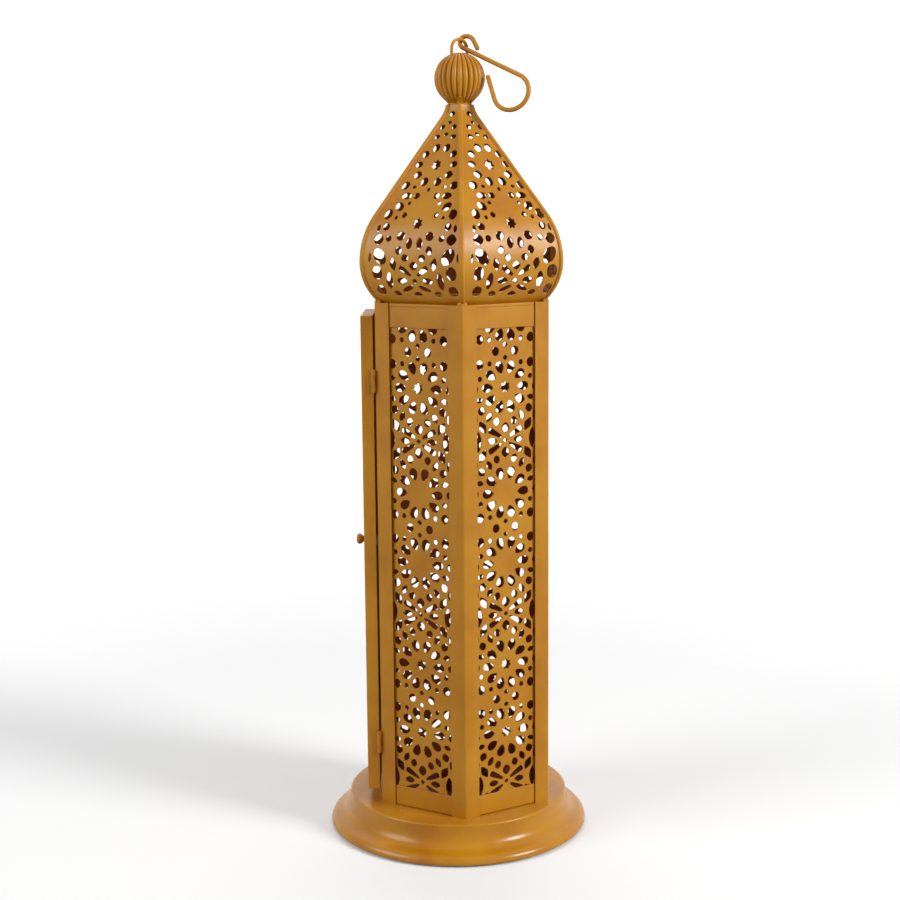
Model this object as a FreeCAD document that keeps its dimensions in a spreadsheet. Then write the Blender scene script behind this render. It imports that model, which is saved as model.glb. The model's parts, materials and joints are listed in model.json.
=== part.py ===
"""Hexagonal sheet-metal candle lantern with pierced panels, an onion dome and a side door.

Frame: +Z up, origin on the floor under the centre of the round foot, -Y is the front
corner and the door is on the -X side. All lengths are in millimetres, angles in degrees.
"""

import FreeCAD, Part
import Sketcher
import math
import os
from types import SimpleNamespace
from FreeCAD import Placement, Rotation, Vector

SIZES = {
    # round pressed foot
    "foot_radius": 100.5,
    "foot_height": 27.0,
    "foot_top_radius": 84.9,
    "foot_edge": 1.5,
    "foot_flare": 1.9,
    "foot_lip_height": 3.2,
    "foot_lip_width": 3.2,
    "foot_sheet": 1.2,
    # six-sided body
    "body_radius": 74.0,
    "body_height": 385.0,
    "post_flange": 12.0,
    "post_sheet": 1.0,
    "band_sheet": 1.0,
    "bottom_band_height": 15.5,
    "top_band_height": 15.2,
    "top_band_drop": 2.3,
    "panel_sheet": 1.0,
    "panel_overlap": 5.0,
    "panel_end_gap": 1.0,
    "floor_sheet": 1.0,
    "floor_fit": 0.1,
    "cap_sheet": 1.0,
    "cap_opening_radius": 52.0,
    # pierced lattice of ten-petalled rosettes
    "lattice_pitch": 131.2,
    "lattice_first": 88.4,
    "rosette_offset": 26.4,
    "rosette_ring_radius": 15.5,
    "rosette_slot_length": 9.4,
    "rosette_slot_width": 6.4,
    # candle cup soldered on the floor plate
    "cup_bore_radius": 20.5,
    "cup_height": 14.0,
    "cup_sheet": 1.0,
    # door tray on the -X face
    "door_gap": 1.1,
    "door_depth": 9.6,
    "door_sheet": 1.0,
    "door_side_gap": 0.25,
    "door_bottom": 10.8,
    "door_top_drop": 9.6,
    "door_border": 12.0,
    "door_panel_overlap": 5.0,
    # butt hinges at the front edge of the door
    "hinge_height": 17.0,
    "hinge_low_inset": 29.4,
    "hinge_high_inset": 39.8,
    "hinge_standoff": 1.85,
    "barrel_radius": 1.5,
    "barrel_gap": 0.2,
    "leaf_sheet": 0.8,
    "post_leaf_width": 8.0,
    "door_leaf_width": 4.6,
    "leaf_notch": 0.4,
    "pin_radius": 0.75,
    "pin_running": 0.06,
    "pin_tight": 0.02,
    "pin_end": 0.4,
    # knob and spring catch on the free edge of the door
    "knob_neck_radius": 2.2,
    "knob_radius": 4.2,
    "knob_neck": 5.0,
    "knob_length": 9.5,
    "catch_sheet": 0.6,
    "catch_height": 8.0,
    "catch_foot": 5.5,
    "catch_reach": 5.0,
    "catch_clearance": 0.7,
    # onion dome of six single-curved petals
    "dome_height": 143.5,
    "belly_apothem": 72.9,
    "belly_height": 29.5,
    "lower_arc": 39.5,
    "upper_arc": 61.0,
    "neck_arc": 22.0,
    "neck_apothem": 9.0,
    "neck_angle": 10.0,
    "petal_sheet": 1.0,
    "rib_width": 3.5,
    "rib_proud": 1.2,
    "rib_depth": 3.4,
    "rib_foot": 3.6,
    "rib_foot_sheet": 1.0,
    "rib_tab": 5.0,
    "rib_tab_sheet": 0.9,
    "rib_tab_gap": 0.3,
    # finial
    "neck_plate_radius": 9.2,
    "neck_plate_sheet": 1.5,
    "ball_radius": 19.0,
    "ball_foot_radius": 9.3,
    "ball_top_radius": 4.0,
    "ball_flute": 1.1,
    "finial_screw_radius": 2.0,
    "screw_fit": 0.2,
    "thread_fit": 0.05,
    "finial_screw_depth": 12.0,
    "finial_head_radius": 3.8,
    "finial_head_height": 2.4,
    # staple on the ball and the hook hung in it
    "staple_wire": 1.25,
    "staple_radius": 7.5,
    "staple_leg": 2.5,
    "staple_root": 3.0,
    "staple_turn_angle": 49.5,
    "hook_wire": 1.8,
    "eye_radius": 4.5,
    "eye_tail": 6.2,
    "hook_arm": 51.9,
    "loop_radius": 13.5,
    "loop_wrap_angle": 223.4,
    "hook_tail": 17.5,
    "hook_droop_angle": 25.6,
    "hook_turn_angle": 22.0,
    "hook_lean_angle": 14.0,
    "hook_slip_angle": 43.0,
    "eye_offset": 0.8,
}

COS30 = math.cos(math.radians(30))
TAN30 = math.tan(math.radians(30))
TURN = 60                       # degrees between neighbouring sides of the hexagon
CORNERS = {name: step * TURN - 90 for step, name in enumerate(
    ("front", "front_right", "back_right", "back", "back_left", "front_left"))}
DOOR_FACE = 3 * TURN
FACES = {name: DOOR_FACE + step * TURN for step, name in enumerate(
    ("front_left", "front_right", "right", "back_right", "back_left"), start=1)}
BALL_RIBS = 26
BALL_STEPS = 7                  # rings of facets on the ball
WIRE_SIDES = 8                  # facets round a bent wire
BARREL_SIDES = 10               # facets round a rolled hinge knuckle
FLARE_STEPS = 4                 # flat steps of the foot's hollow flare
FOOT_SIDES = 60                 # facets round the foot
ARC_STEP = 12                   # degrees of dome curve for each flat strip of a petal

doc = FreeCAD.newDocument("lantern")
nodes = []


class Size:
    """A number together with the sheet formula that gives it."""

    def __init__(self, value, formula):
        self.value = float(value)
        self.formula = formula

    @staticmethod
    def of(number):
        return number if isinstance(number, Size) else Size(number, repr(float(number)))

    def join(self, other, sign, value):
        return Size(value, f"({self.formula} {sign} {other.formula})")

    def __add__(self, other):
        other = Size.of(other)
        return self.join(other, "+", self.value + other.value)

    def __sub__(self, other):
        other = Size.of(other)
        return self.join(other, "-", self.value - other.value)

    def __mul__(self, other):
        other = Size.of(other)
        return self.join(other, "*", self.value * other.value)

    def __truediv__(self, other):
        other = Size.of(other)
        return self.join(other, "/", self.value / other.value)

    def __radd__(self, other):
        return Size.of(other) + self

    def __rsub__(self, other):
        return Size.of(other) - self

    def __rmul__(self, other):
        return Size.of(other) * self

    def __neg__(self):
        return Size(-self.value, f"(0 - {self.formula})")

    def __float__(self):
        return self.value


def fill_sheet():
    """Put the driving sizes in a sheet and hand them back by name."""
    sheet = doc.addObject("Spreadsheet::Sheet", "sizes")
    for row, (alias, number) in enumerate(SIZES.items(), start=1):
        sheet.set(f"A{row}", alias)
        sheet.set(f"B{row}", str(number))
        sheet.setAlias(f"B{row}", alias)
    doc.recompute()
    return SimpleNamespace(**{alias: Size(getattr(sheet, alias), f"sizes.{alias}") for alias in SIZES})


S = fill_sheet()

# places worked out from the sizes
APOTHEM = S.body_radius * COS30                       # outer faces of the post flanges
BAND_FACE = APOTHEM - S.post_sheet                    # outer face of both bands
PANEL_FACE = BAND_FACE - S.band_sheet                 # outer face of the pierced sheets
PANEL_BACK = PANEL_FACE - S.panel_sheet
BODY_X = (S.door_gap + S.door_depth) / 2              # body and door are centred on the foot together
WINDOW = S.body_radius / 2 - S.post_flange            # half the width between two flanges
CAP_TOP = S.foot_height + S.body_height
DOME_TOP = CAP_TOP + S.dome_height
FLOOR_TOP = S.foot_height + S.floor_sheet
DOOR_BACK = APOTHEM + S.door_gap
DOOR_HALF = S.body_radius / 2 - S.door_side_gap
DOOR_TOP = S.body_height - S.door_top_drop            # heights on the door count from the foot's top
DOOR_MIDDLE = (S.door_bottom + DOOR_TOP) / 2
HINGE_X = APOTHEM + S.hinge_standoff                  # distance of the pin from the body's axis
HINGE_Y = DOOR_HALF + S.barrel_radius


# ---------------------------------------------------------------- helpers

def bind(thing, field, size):
    """Tie one property of an object to its sheet formula."""
    thing.setExpression(field, Size.of(size).formula)


def keep(thing, name):
    """Label a finished sub-part and note it for export."""
    thing.Label = name
    nodes.append(thing)
    return thing


def seat(thing, x=0, y=0, z=0, angle=0):
    """Place a sub-part and tie its place to the sheet."""
    place = [Size.of(value) for value in (x, y, z)]
    thing.Placement = Placement(Vector(*[value.value for value in place]),
                                Rotation(Vector(0, 0, 1), angle))
    for axis, value in zip("xyz", place):
        bind(thing, f"Placement.Base.{axis}", value)


def new_body(name):
    body = doc.addObject("PartDesign::Body", name)
    return keep(body, name)


def new_sketch(body, name, role="XY_Plane", offset=0):
    """A sketch on one of the body's own origin planes, moved along the plane's normal."""
    sketch = body.newObject("Sketcher::SketchObject", f"{body.Name}_{name}")
    plane = next(item for item in body.Origin.OriginFeatures if item.Role == role)
    sketch.AttachmentSupport = [(plane, "")]
    sketch.MapMode = "FlatFace"
    bind(sketch, "AttachmentOffset.Base.z", offset)
    return sketch


def fix_point(sketch, geometry, end, x, y):
    """Hold one point of a sketch at sheet-driven coordinates."""
    for kind, size in (("DistanceX", Size.of(x)), ("DistanceY", Size.of(y))):
        index = sketch.addConstraint(Sketcher.Constraint(kind, -1, 1, geometry, end, size.value))
        bind(sketch, f"Constraints[{index}]", size)


def outline(sketch, corners, bows=None):
    """A closed outline through the corners; bows gives the middle point of each curved side."""
    bows = bows or {}
    spots = [Vector(float(x), float(y), 0) for x, y in corners]
    first = sketch.GeometryCount
    for i, spot in enumerate(spots):
        following = spots[(i + 1) % len(spots)]
        if i in bows:
            middle = Vector(float(bows[i][0]), float(bows[i][1]), 0)
            sketch.addGeometry(Part.Arc(spot, middle, following), False)
        else:
            sketch.addGeometry(Part.LineSegment(spot, following), False)
    ends = []
    for i, spot in enumerate(spots):
        edge = sketch.Geometry[first + i]
        ends.append((1, 2) if edge.StartPoint.distanceToPoint(spot) < 1e-6 else (2, 1))
    for i in range(len(spots)):
        j = (i + 1) % len(spots)
        sketch.addConstraint(Sketcher.Constraint("Coincident", first + i, ends[i][1], first + j, ends[j][0]))
        fix_point(sketch, first + i, ends[i][0], *corners[i])
    for i, (x, y) in bows.items():
        point = sketch.addGeometry(Part.Point(Vector(float(x), float(y), 0)), True)
        fix_point(sketch, point, 1, x, y)
        sketch.addConstraint(Sketcher.Constraint("PointOnObject", point, 1, first + i))


def rectangle(sketch, left, right, low, high):
    outline(sketch, [(left, low), (right, low), (right, high), (left, high)])


def hexagon(sketch, corner_radius):
    """A hexagon with a corner on the -Y axis."""
    corners = []
    for k in range(6):
        turn = math.radians(-90 + k * TURN)
        corners.append((corner_radius * math.cos(turn), corner_radius * math.sin(turn)))
    outline(sketch, corners)


def circle(sketch, x, y, radius):
    radius = Size.of(radius)
    index = sketch.addGeometry(Part.Circle(Vector(float(x), float(y), 0), Vector(0, 0, 1), radius.value), False)
    fix_point(sketch, index, 3, x, y)
    held = sketch.addConstraint(Sketcher.Constraint("Radius", index, radius.value))
    bind(sketch, f"Constraints[{held}]", radius)


def loose_loops(sketch, loops):
    """Closed straight-sided loops whose corners were worked out from the sheet's values."""
    edges = []
    for loop in loops:
        edges += [Part.LineSegment(loop[i - 1], loop[i]) for i in range(len(loop))]
    sketch.addGeometry(edges, False)


def pad(body, sketch, length, middle=False):
    feature = body.newObject("PartDesign::Pad", f"{sketch.Name}_pad")
    feature.Profile = sketch
    bind(feature, "Length", length)
    feature.Midplane = middle
    return feature


def pocket(body, sketch, length=None, forward=False, both=False):
    """Cut a sketch's outline away, through everything unless a length is given."""
    feature = body.newObject("PartDesign::Pocket", f"{sketch.Name}_cut")
    feature.Profile = sketch
    if length is None:
        feature.Type = "ThroughAll"
    else:
        bind(feature, "Length", length)
    feature.Reversed = forward
    feature.Midplane = both
    return feature


def revolve(body, sketch, axis):
    feature = body.newObject("PartDesign::Revolution", f"{sketch.Name}_turn")
    feature.Profile = sketch
    feature.ReferenceAxis = (sketch, [axis])
    feature.Angle = 360
    return feature


def cylinder(name, radius, height, x=0, y=0, z=0, rotation=None):
    rod = doc.addObject("Part::Cylinder", name)
    bind(rod, "Radius", radius)
    bind(rod, "Height", height)
    seat(rod, x, y, z)
    if rotation is not None:
        rod.Placement.Rotation = rotation
    return rod


def block(name, low, high):
    """A box between two corners, each given as three sizes."""
    box = doc.addObject("Part::Box", name)
    for side, start, end in zip(("Length", "Width", "Height"), low, high):
        bind(box, side, Size.of(end) - start)
    seat(box, *low)
    return box


def fuse(name, pieces):
    joined = doc.addObject("Part::MultiFuse", name)
    joined.Shapes = pieces
    return joined


def level_ring(radius, height, sides):
    """Corners of a level ring round the Z axis."""
    turns = [2 * math.pi * k / sides for k in range(sides)]
    return [Vector(radius * math.cos(turn), radius * math.sin(turn), height) for turn in turns]


def faceted(rings):
    """A solid skinned with flat facets between closed rings of points, with flat ends."""
    faces = [Part.Face(Part.makePolygon(ring + ring[:1])) for ring in (rings[0], rings[-1])]
    for lower, upper in zip(rings, rings[1:]):
        for i in range(len(lower)):
            corners = [lower[i - 1], lower[i], upper[i], upper[i - 1]]
            faces.append(Part.Face(Part.makePolygon(corners + corners[:1])))
    return Part.Solid(Part.Shell(faces))


def cut(name, base, tool):
    result = doc.addObject("Part::Cut", name)
    result.Base = base
    result.Tool = tool
    return result


# ---------------------------------------------------------------- foot, floor and candle cup

def make_base():
    """Pressed foot: flat top with a rounded edge, hollow flare and upright lip, open underneath."""
    top = float(S.foot_height)
    sheet = float(S.foot_sheet)
    edge = float(S.foot_edge)
    rim = Vector(float(S.foot_top_radius), top - edge, 0)
    lip = Vector(float(S.foot_radius), float(S.foot_lip_height), 0)
    inner_lip = Vector(float(S.foot_radius - S.foot_lip_width), sheet, 0)
    inner_top = Vector(rim.x - edge - sheet - float(S.foot_flare), top - sheet, 0)
    profile = [inner_top, inner_lip, Vector(inner_lip.x, 0, 0), Vector(lip.x, 0, 0), lip]
    for k in range(1, FLARE_STEPS):
        share = k / FLARE_STEPS
        bow = float(S.foot_flare) * 4 * share * (1 - share)
        profile.append(lip + (rim - lip) * share - Vector(bow, bow, 0))
    profile += [rim, Vector(rim.x - edge, top, 0)]
    base = doc.addObject("Part::Feature", "base")
    base.Shape = faceted([level_ring(spot.x, spot.y, FOOT_SIDES) for spot in profile])
    keep(base, "base")


def make_floor_plate():
    body = new_body("floor_plate")
    sketch = new_sketch(body, "outline")
    hexagon(sketch, (PANEL_BACK - S.floor_fit) / COS30)
    pad(body, sketch, S.floor_sheet)
    seat(body, BODY_X, 0, S.foot_height)


def make_candle_cup():
    """Round cup with its bottom closed, standing on the floor plate."""
    body = new_body("candle_cup")
    outer = S.cup_bore_radius + S.cup_sheet
    sketch = new_sketch(body, "profile", "XZ_Plane")
    outline(sketch, [(0, 0), (outer, 0), (outer, S.cup_height), (S.cup_bore_radius, S.cup_height),
                     (S.cup_bore_radius, S.cup_sheet), (0, S.cup_sheet)])
    revolve(body, sketch, "V_Axis")
    seat(body, BODY_X, 0, FLOOR_TOP)


# ---------------------------------------------------------------- six-sided body

def make_post(corner, angle):
    """Folded corner strip: two flanges that meet at 120 degrees."""
    body = new_body(f"post_{corner}")
    tip = S.body_radius
    end_x = tip - S.post_flange / 2
    end_y = S.post_flange * COS30
    sketch = new_sketch(body, "section")
    outline(sketch, [
        (tip, 0),
        (end_x, end_y),
        (end_x - S.post_sheet * COS30, end_y - S.post_sheet / 2),
        (tip - S.post_sheet / COS30, 0),
        (end_x - S.post_sheet * COS30, -end_y + S.post_sheet / 2),
        (end_x, -end_y),
    ])
    pad(body, sketch, S.body_height)
    seat(body, BODY_X, 0, S.foot_height, angle)


def make_band(name, height, level):
    """Six-sided band soldered inside the posts."""
    body = new_body(name)
    sketch = new_sketch(body, "ring")
    hexagon(sketch, BAND_FACE / COS30)
    hexagon(sketch, PANEL_FACE / COS30)
    pad(body, sketch, height)
    seat(body, BODY_X, 0, level)


def make_top_cap():
    """Lid plate with a turned-down skirt that stands on the top band, open under the dome."""
    body = new_body("top_cap")
    skirt = new_sketch(body, "skirt")
    hexagon(skirt, BAND_FACE / COS30)
    hexagon(skirt, (BAND_FACE - S.cap_sheet) / COS30)
    pad(body, skirt, S.top_band_drop)
    plate = new_sketch(body, "plate", "XY_Plane", S.top_band_drop - S.cap_sheet)
    hexagon(plate, BAND_FACE / COS30)
    hexagon(plate, S.cap_opening_radius)
    pad(body, plate, S.cap_sheet)
    seat(body, BODY_X, 0, CAP_TOP - S.top_band_drop)


def kite(centre, angle, length, width):
    """A four-sided slot whose long axis points along the angle, blunt end outwards."""
    along = Vector(math.cos(angle), math.sin(angle), 0)
    across = Vector(-along.y, along.x, 0)
    waist = centre + along * (0.12 * length)
    return [centre - along * (length / 2), waist + across * (width / 2),
            centre + along * (length / 2), waist - across * (width / 2)]


def rosette(height):
    """Ten slots round one centre."""
    slots = []
    for k in range(10):
        angle = math.radians(72 + 36 * k)
        centre = Vector(0, height, 0) + Vector(math.cos(angle), math.sin(angle), 0) * float(S.rosette_ring_radius)
        slots.append(kite(centre, angle, float(S.rosette_slot_length), float(S.rosette_slot_width)))
    return slots


def lattice(low, high):
    """Rosettes in mirrored pairs, one pair per pitch, as many as fit between two heights."""
    reach = float(S.rosette_ring_radius + S.rosette_slot_length / 2)
    loops = []
    pair = float(S.lattice_first)
    while pair - float(S.rosette_offset) - reach < high:
        for height in (pair - float(S.rosette_offset), pair + float(S.rosette_offset)):
            if low < height - reach and height + reach < high:
                loops += rosette(height)
        pair += float(S.lattice_pitch)
    return loops


def make_panel(face, angle):
    """Pierced sheet soldered behind the bands and flanges of one side."""
    body = new_body(f"panel_{face}")
    half = WINDOW + S.panel_overlap
    sketch = new_sketch(body, "outline", "YZ_Plane", PANEL_BACK)
    rectangle(sketch, -half, half, S.panel_end_gap, S.body_height - S.panel_end_gap)
    high = S.body_height - S.top_band_drop - S.top_band_height
    loose_loops(sketch, lattice(float(S.bottom_band_height), float(high)))
    pad(body, sketch, S.panel_sheet)
    seat(body, BODY_X, 0, S.foot_height, angle)


# ---------------------------------------------------------------- door and hinges

def make_door_frame():
    """Shallow folded tray with a window, standing just outside the body."""
    body = new_body("door_frame")
    sketch = new_sketch(body, "outline", "YZ_Plane", DOOR_BACK)
    rectangle(sketch, -DOOR_HALF, DOOR_HALF, S.door_bottom, DOOR_TOP)
    pad(body, sketch, S.door_depth)
    hollow = new_sketch(body, "hollow", "YZ_Plane", DOOR_BACK)
    rectangle(hollow, S.door_sheet - DOOR_HALF, DOOR_HALF - S.door_sheet,
              S.door_bottom + S.door_sheet, DOOR_TOP - S.door_sheet)
    pocket(body, hollow, S.door_depth - S.door_sheet, forward=True)
    window = new_sketch(body, "window", "YZ_Plane", DOOR_BACK)
    rectangle(window, S.door_border - DOOR_HALF, DOOR_HALF - S.door_border,
              S.door_bottom + S.door_border, DOOR_TOP - S.door_border)
    pocket(body, window, forward=True)
    seat(body, BODY_X, 0, S.foot_height, DOOR_FACE)


def make_door_panel():
    body = new_body("door_panel")
    half = DOOR_HALF - S.door_border + S.door_panel_overlap
    low = S.door_bottom + S.door_border
    high = DOOR_TOP - S.door_border
    back = DOOR_BACK + S.door_depth - S.door_sheet - S.panel_sheet
    sketch = new_sketch(body, "outline", "YZ_Plane", back)
    rectangle(sketch, -half, half, low - S.door_panel_overlap, high + S.door_panel_overlap)
    loose_loops(sketch, lattice(float(low), float(high)))
    pad(body, sketch, S.panel_sheet)
    seat(body, BODY_X, 0, S.foot_height, DOOR_FACE)


def rolled_knuckle(name, length, start):
    """Faceted barrel round the hinge axis, with a flat side towards each leaf."""
    barrel = doc.addObject("Part::Prism", name)
    barrel.Polygon = BARREL_SIDES
    bind(barrel, "Circumradius", S.barrel_radius)
    bind(barrel, "Height", length)
    seat(barrel, -HINGE_X, -HINGE_Y, start)
    return barrel


def hinge_knuckles(name, low, thirds, link_low, link_high):
    """Barrel lengths with the flat links that join them to a leaf."""
    third = S.hinge_height / 3
    pieces = []
    for k in thirds:
        start = low + third * k + (S.barrel_gap if k else 0)
        length = third - S.barrel_gap * (2 if k == 1 else 1)
        pieces.append(rolled_knuckle(f"{name}_barrel_{k}", length, start))
        pieces.append(block(f"{name}_link_{k}", (*link_low, start), (*link_high, start + length)))
    return pieces


def make_hinge(which, height):
    """Two leaves and a pin; the axis stands just outside the front edge of the door."""
    low = S.foot_height + height
    high = low + S.hinge_height
    notch = S.barrel_radius + S.leaf_notch

    name = f"hinge_{which}_post_leaf"
    face = -APOTHEM
    plate = block(f"{name}_plate", (face - S.leaf_sheet, notch - HINGE_Y, low),
                  (face, S.post_leaf_width - HINGE_Y, high))
    pieces = hinge_knuckles(name, low, (0, 2), (face - S.leaf_sheet, -HINGE_Y), (face, notch - HINGE_Y))
    solid = fuse(f"{name}_solid", [plate] + pieces)
    bore = cylinder(f"{name}_bore", S.pin_radius + S.pin_tight, S.hinge_height, -HINGE_X, -HINGE_Y, low)
    leaf = keep(cut(name, solid, bore), name)
    seat(leaf, BODY_X)

    name = f"hinge_{which}_door_leaf"
    side = -DOOR_HALF
    plate = block(f"{name}_plate", (-HINGE_X - S.door_leaf_width, side - S.leaf_sheet, low),
                  (-HINGE_X - notch, side, high))
    pieces = hinge_knuckles(name, low, (1,), (-HINGE_X - notch, side - S.leaf_sheet), (-HINGE_X, side))
    solid = fuse(f"{name}_solid", [plate] + pieces)
    bore = cylinder(f"{name}_bore", S.pin_radius + S.pin_running, S.hinge_height, -HINGE_X, -HINGE_Y, low)
    leaf = keep(cut(name, solid, bore), name)
    seat(leaf, BODY_X)

    name = f"hinge_{which}_pin"
    pin = cylinder(name, S.pin_radius, S.hinge_height + 2 * S.pin_end,
                   BODY_X - HINGE_X, -HINGE_Y, low - S.pin_end)
    keep(pin, name)


def make_knob():
    """Turned knob soldered to the border of the door's free edge."""
    outside = DOOR_BACK + S.door_depth
    body = new_body("door_knob")
    sketch = new_sketch(body, "profile")
    outline(sketch, [(outside, 0), (outside, S.knob_neck_radius),
                     (outside + S.knob_neck, S.knob_neck_radius), (outside + S.knob_neck, S.knob_radius),
                     (outside + S.knob_length, S.knob_radius), (outside + S.knob_length, 0)])
    revolve(body, sketch, "H_Axis")
    seat(body, BODY_X, DOOR_HALF - S.door_border / 2, S.foot_height + DOOR_MIDDLE, DOOR_FACE)


def make_catch():
    """Bent spring strip inside the door that springs past the edge of the rear flange."""
    back = DOOR_BACK + S.door_depth - S.door_sheet - S.panel_sheet
    arm = WINDOW - S.catch_clearance
    middle = S.foot_height + DOOR_MIDDLE
    low = middle - S.catch_height / 2
    high = middle + S.catch_height / 2
    foot = block("catch_foot", (-back, arm - S.catch_sheet, low),
                 (S.catch_sheet - back, arm + S.catch_foot, high))
    blade = block("catch_blade", (-back, arm - S.catch_sheet, low), (S.catch_reach - APOTHEM, arm, high))
    catch = keep(fuse("door_catch", [foot, blade]), "door_catch")
    seat(catch, BODY_X)


# ---------------------------------------------------------------- onion dome

class DomeCurve:
    """Outer outline of a petal at its middle: two convex arcs, a straight slope and a hollow neck arc.

    Coordinates are (distance from the axis, height above the lid). The slope is the straight
    line that touches both the upper arc and the neck arc, which bend opposite ways.
    """

    def __init__(self):
        self.low = float(S.lower_arc)
        self.up = float(S.upper_arc)
        self.neck = float(S.neck_arc)
        self.belly = float(S.belly_height)
        self.low_x = float(S.belly_apothem) - self.low
        self.up_x = float(S.belly_apothem) - self.up
        end = math.radians(float(S.neck_angle))
        self.neck_x = float(S.neck_apothem) + self.neck * math.cos(end)
        self.neck_z = float(S.dome_height) + self.neck * math.sin(end)
        between = Vector(self.neck_x - self.up_x, self.neck_z - self.belly, 0)
        lean = math.acos((self.up + self.neck) / between.Length)
        self.start_angle = -math.degrees(math.asin(self.belly / self.low))
        self.slope_angle = math.degrees(math.atan2(between.y, between.x) - lean)
        self.end_angle = math.degrees(end)

    def outline(self, inset=0.0):
        """Points from the lid up to the neck, moved inwards by inset, one for each ARC_STEP of arc."""
        points = []
        arcs = ((self.low_x, self.belly, self.low - inset, self.start_angle, 0.0),
                (self.up_x, self.belly, self.up - inset, 0.0, self.slope_angle),
                (self.neck_x, self.neck_z, -self.neck - inset, self.slope_angle, self.end_angle))
        for x, z, radius, start, end in arcs:
            steps = max(1, round(abs(end - start) / ARC_STEP))
            for k in range(steps + 1):
                turn = math.radians(start + (end - start) * k / steps)
                spot = Vector(x + radius * math.cos(turn), z + radius * math.sin(turn), 0)
                if not points or (spot - points[-1]).Length > 0.01:
                    points.append(spot)
        return points

    def apothem(self, height):
        """Distance of the petal's outer face from the axis at a height above the lid."""
        points = self.outline()
        for low, high in zip(points, points[1:]):
            if low.y <= height <= high.y:
                return low.x + (high.x - low.x) * (height - low.y) / (high.y - low.y)
        return points[-1].x


DOME = DomeCurve()

# kite openings of a petal: sideways share of its half width, share of its height, width, height
PETAL_HOLES = [
    (0.00, 0.68, 9.0, 8.0),
    (0.00, 0.40, 10.0, 9.0),
    (0.00, 0.195, 8.5, 8.0),
    (0.47, 0.53, 9.0, 8.0),
    (0.72, 0.243, 11.5, 13.0),
    (0.42, 0.21, 6.5, 11.0),
    (0.33, 0.33, 6.5, 8.0),
]


def petal_holes():
    """Four-sided openings, those off the middle line mirrored."""
    loops = []
    for share, level, width, height in PETAL_HOLES:
        z = level * float(S.dome_height)
        half = DOME.apothem(z) * TAN30
        for side in ((1, -1) if share else (1,)):
            centre = Vector(side * share * half, z, 0)
            loops.append([centre + Vector(width / 2, 0, 0), centre + Vector(0, height / 2, 0),
                          centre - Vector(width / 2, 0, 0), centre - Vector(0, height / 2, 0)])
    return loops


def make_petal(face, angle):
    """Single-curved pierced sheet that fills one sixth of the dome between two ribs."""
    body = new_body(f"dome_petal_{face}")
    inner = DOME.outline(float(S.petal_sheet))
    inner[0] = Vector(inner[0].x, 0, 0)
    profile = new_sketch(body, "profile", "XZ_Plane")
    loose_loops(profile, [DOME.outline() + inner[::-1]])
    pad(body, profile, 2 * S.body_radius, middle=True)

    wedge = new_sketch(body, "wedge")
    far = S.body_radius * 2
    start = S.rib_width
    edge = (far - start) * TAN30
    outline(wedge, [(start, 0), (far, edge), (far, far), (start, far)])
    outline(wedge, [(start, 0), (start, -far), (far, -far), (far, -edge)])
    pocket(body, wedge, both=True)
    holes = new_sketch(body, "holes", "YZ_Plane")
    loose_loops(holes, petal_holes())
    pocket(body, holes, forward=True)
    seat(body, BODY_X, 0, CAP_TOP, angle)


def tab_points():
    """Side view of the tab: up past the neck plate, then out along the cone of the ball."""
    gap = float(S.rib_tab_gap)
    sheet = float(S.rib_tab_sheet)
    base = float(S.dome_height)
    shelf = base + float(S.neck_plate_sheet)
    near = max(float(S.neck_plate_radius), float(S.ball_foot_radius)) + gap * math.sqrt(2)
    out = float(S.rib_tab)
    far = near + sheet * math.sqrt(2)
    return [Vector(near, base, 0), Vector(near, shelf, 0), Vector(near + out - sheet, shelf + out - sheet, 0),
            Vector(far + out - sheet, shelf + out - sheet, 0), Vector(far, shelf, 0), Vector(far, base, 0)]


def make_rib(corner, angle):
    """Bar that covers a seam of the dome, with a foot on the lid; the front one has a tab on the ball."""
    body = new_body(f"dome_rib_{corner}")
    seam = [Vector(spot.x / COS30, spot.y, 0) for spot in DOME.outline()]
    outer = [spot + Vector(float(S.rib_proud), 0, 0) for spot in seam]
    inner = [spot + Vector(float(S.rib_proud - S.rib_depth), 0, 0) for spot in seam]
    bar = new_sketch(body, "bar", "XZ_Plane")
    loose_loops(bar, [outer + inner[::-1]])
    pad(body, bar, S.rib_width, middle=True)
    heel = outer[0].x
    sheet = float(S.rib_foot_sheet)
    foot = new_sketch(body, "foot", "XZ_Plane")
    loose_loops(foot, [[Vector(heel - sheet, 0, 0), Vector(heel + float(S.rib_foot), 0, 0),
                        Vector(heel + float(S.rib_foot), sheet, 0), Vector(heel - sheet, sheet, 0)]])
    pad(body, foot, S.rib_width, middle=True)
    if corner == "front":
        tab = new_sketch(body, "tab", "XZ_Plane")
        loose_loops(tab, [tab_points()])
        pad(body, tab, S.rib_width, middle=True)
    seat(body, BODY_X, 0, CAP_TOP, angle)


# ---------------------------------------------------------------- finial, staple and hook

def make_neck_plate():
    body = new_body("neck_plate")
    sketch = new_sketch(body, "outline")
    hexagon(sketch, S.neck_plate_radius)
    circle(sketch, 0, 0, S.finial_screw_radius + S.screw_fit)
    pad(body, sketch, S.neck_plate_sheet)
    seat(body, BODY_X, 0, DOME_TOP)


BALL_FOOT = DOME_TOP + S.neck_plate_sheet


def ball_sections():
    """Radius and height of each ring of the ball: a cone below 45 degrees, a sphere above."""
    radius = float(S.ball_radius)
    touch = math.radians(-45)
    belt = radius * math.cos(touch)
    cone = belt - float(S.ball_foot_radius)
    centre = cone - radius * math.sin(touch)
    last = math.acos(float(S.ball_top_radius) / radius)
    rings = [(float(S.ball_foot_radius), 0.0)]
    for k in range(BALL_STEPS):
        latitude = touch + (last - touch) * k / (BALL_STEPS - 1)
        rings.append((radius * math.cos(latitude), centre + radius * math.sin(latitude)))
    return rings


def ball_height():
    return ball_sections()[-1][1]


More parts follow.
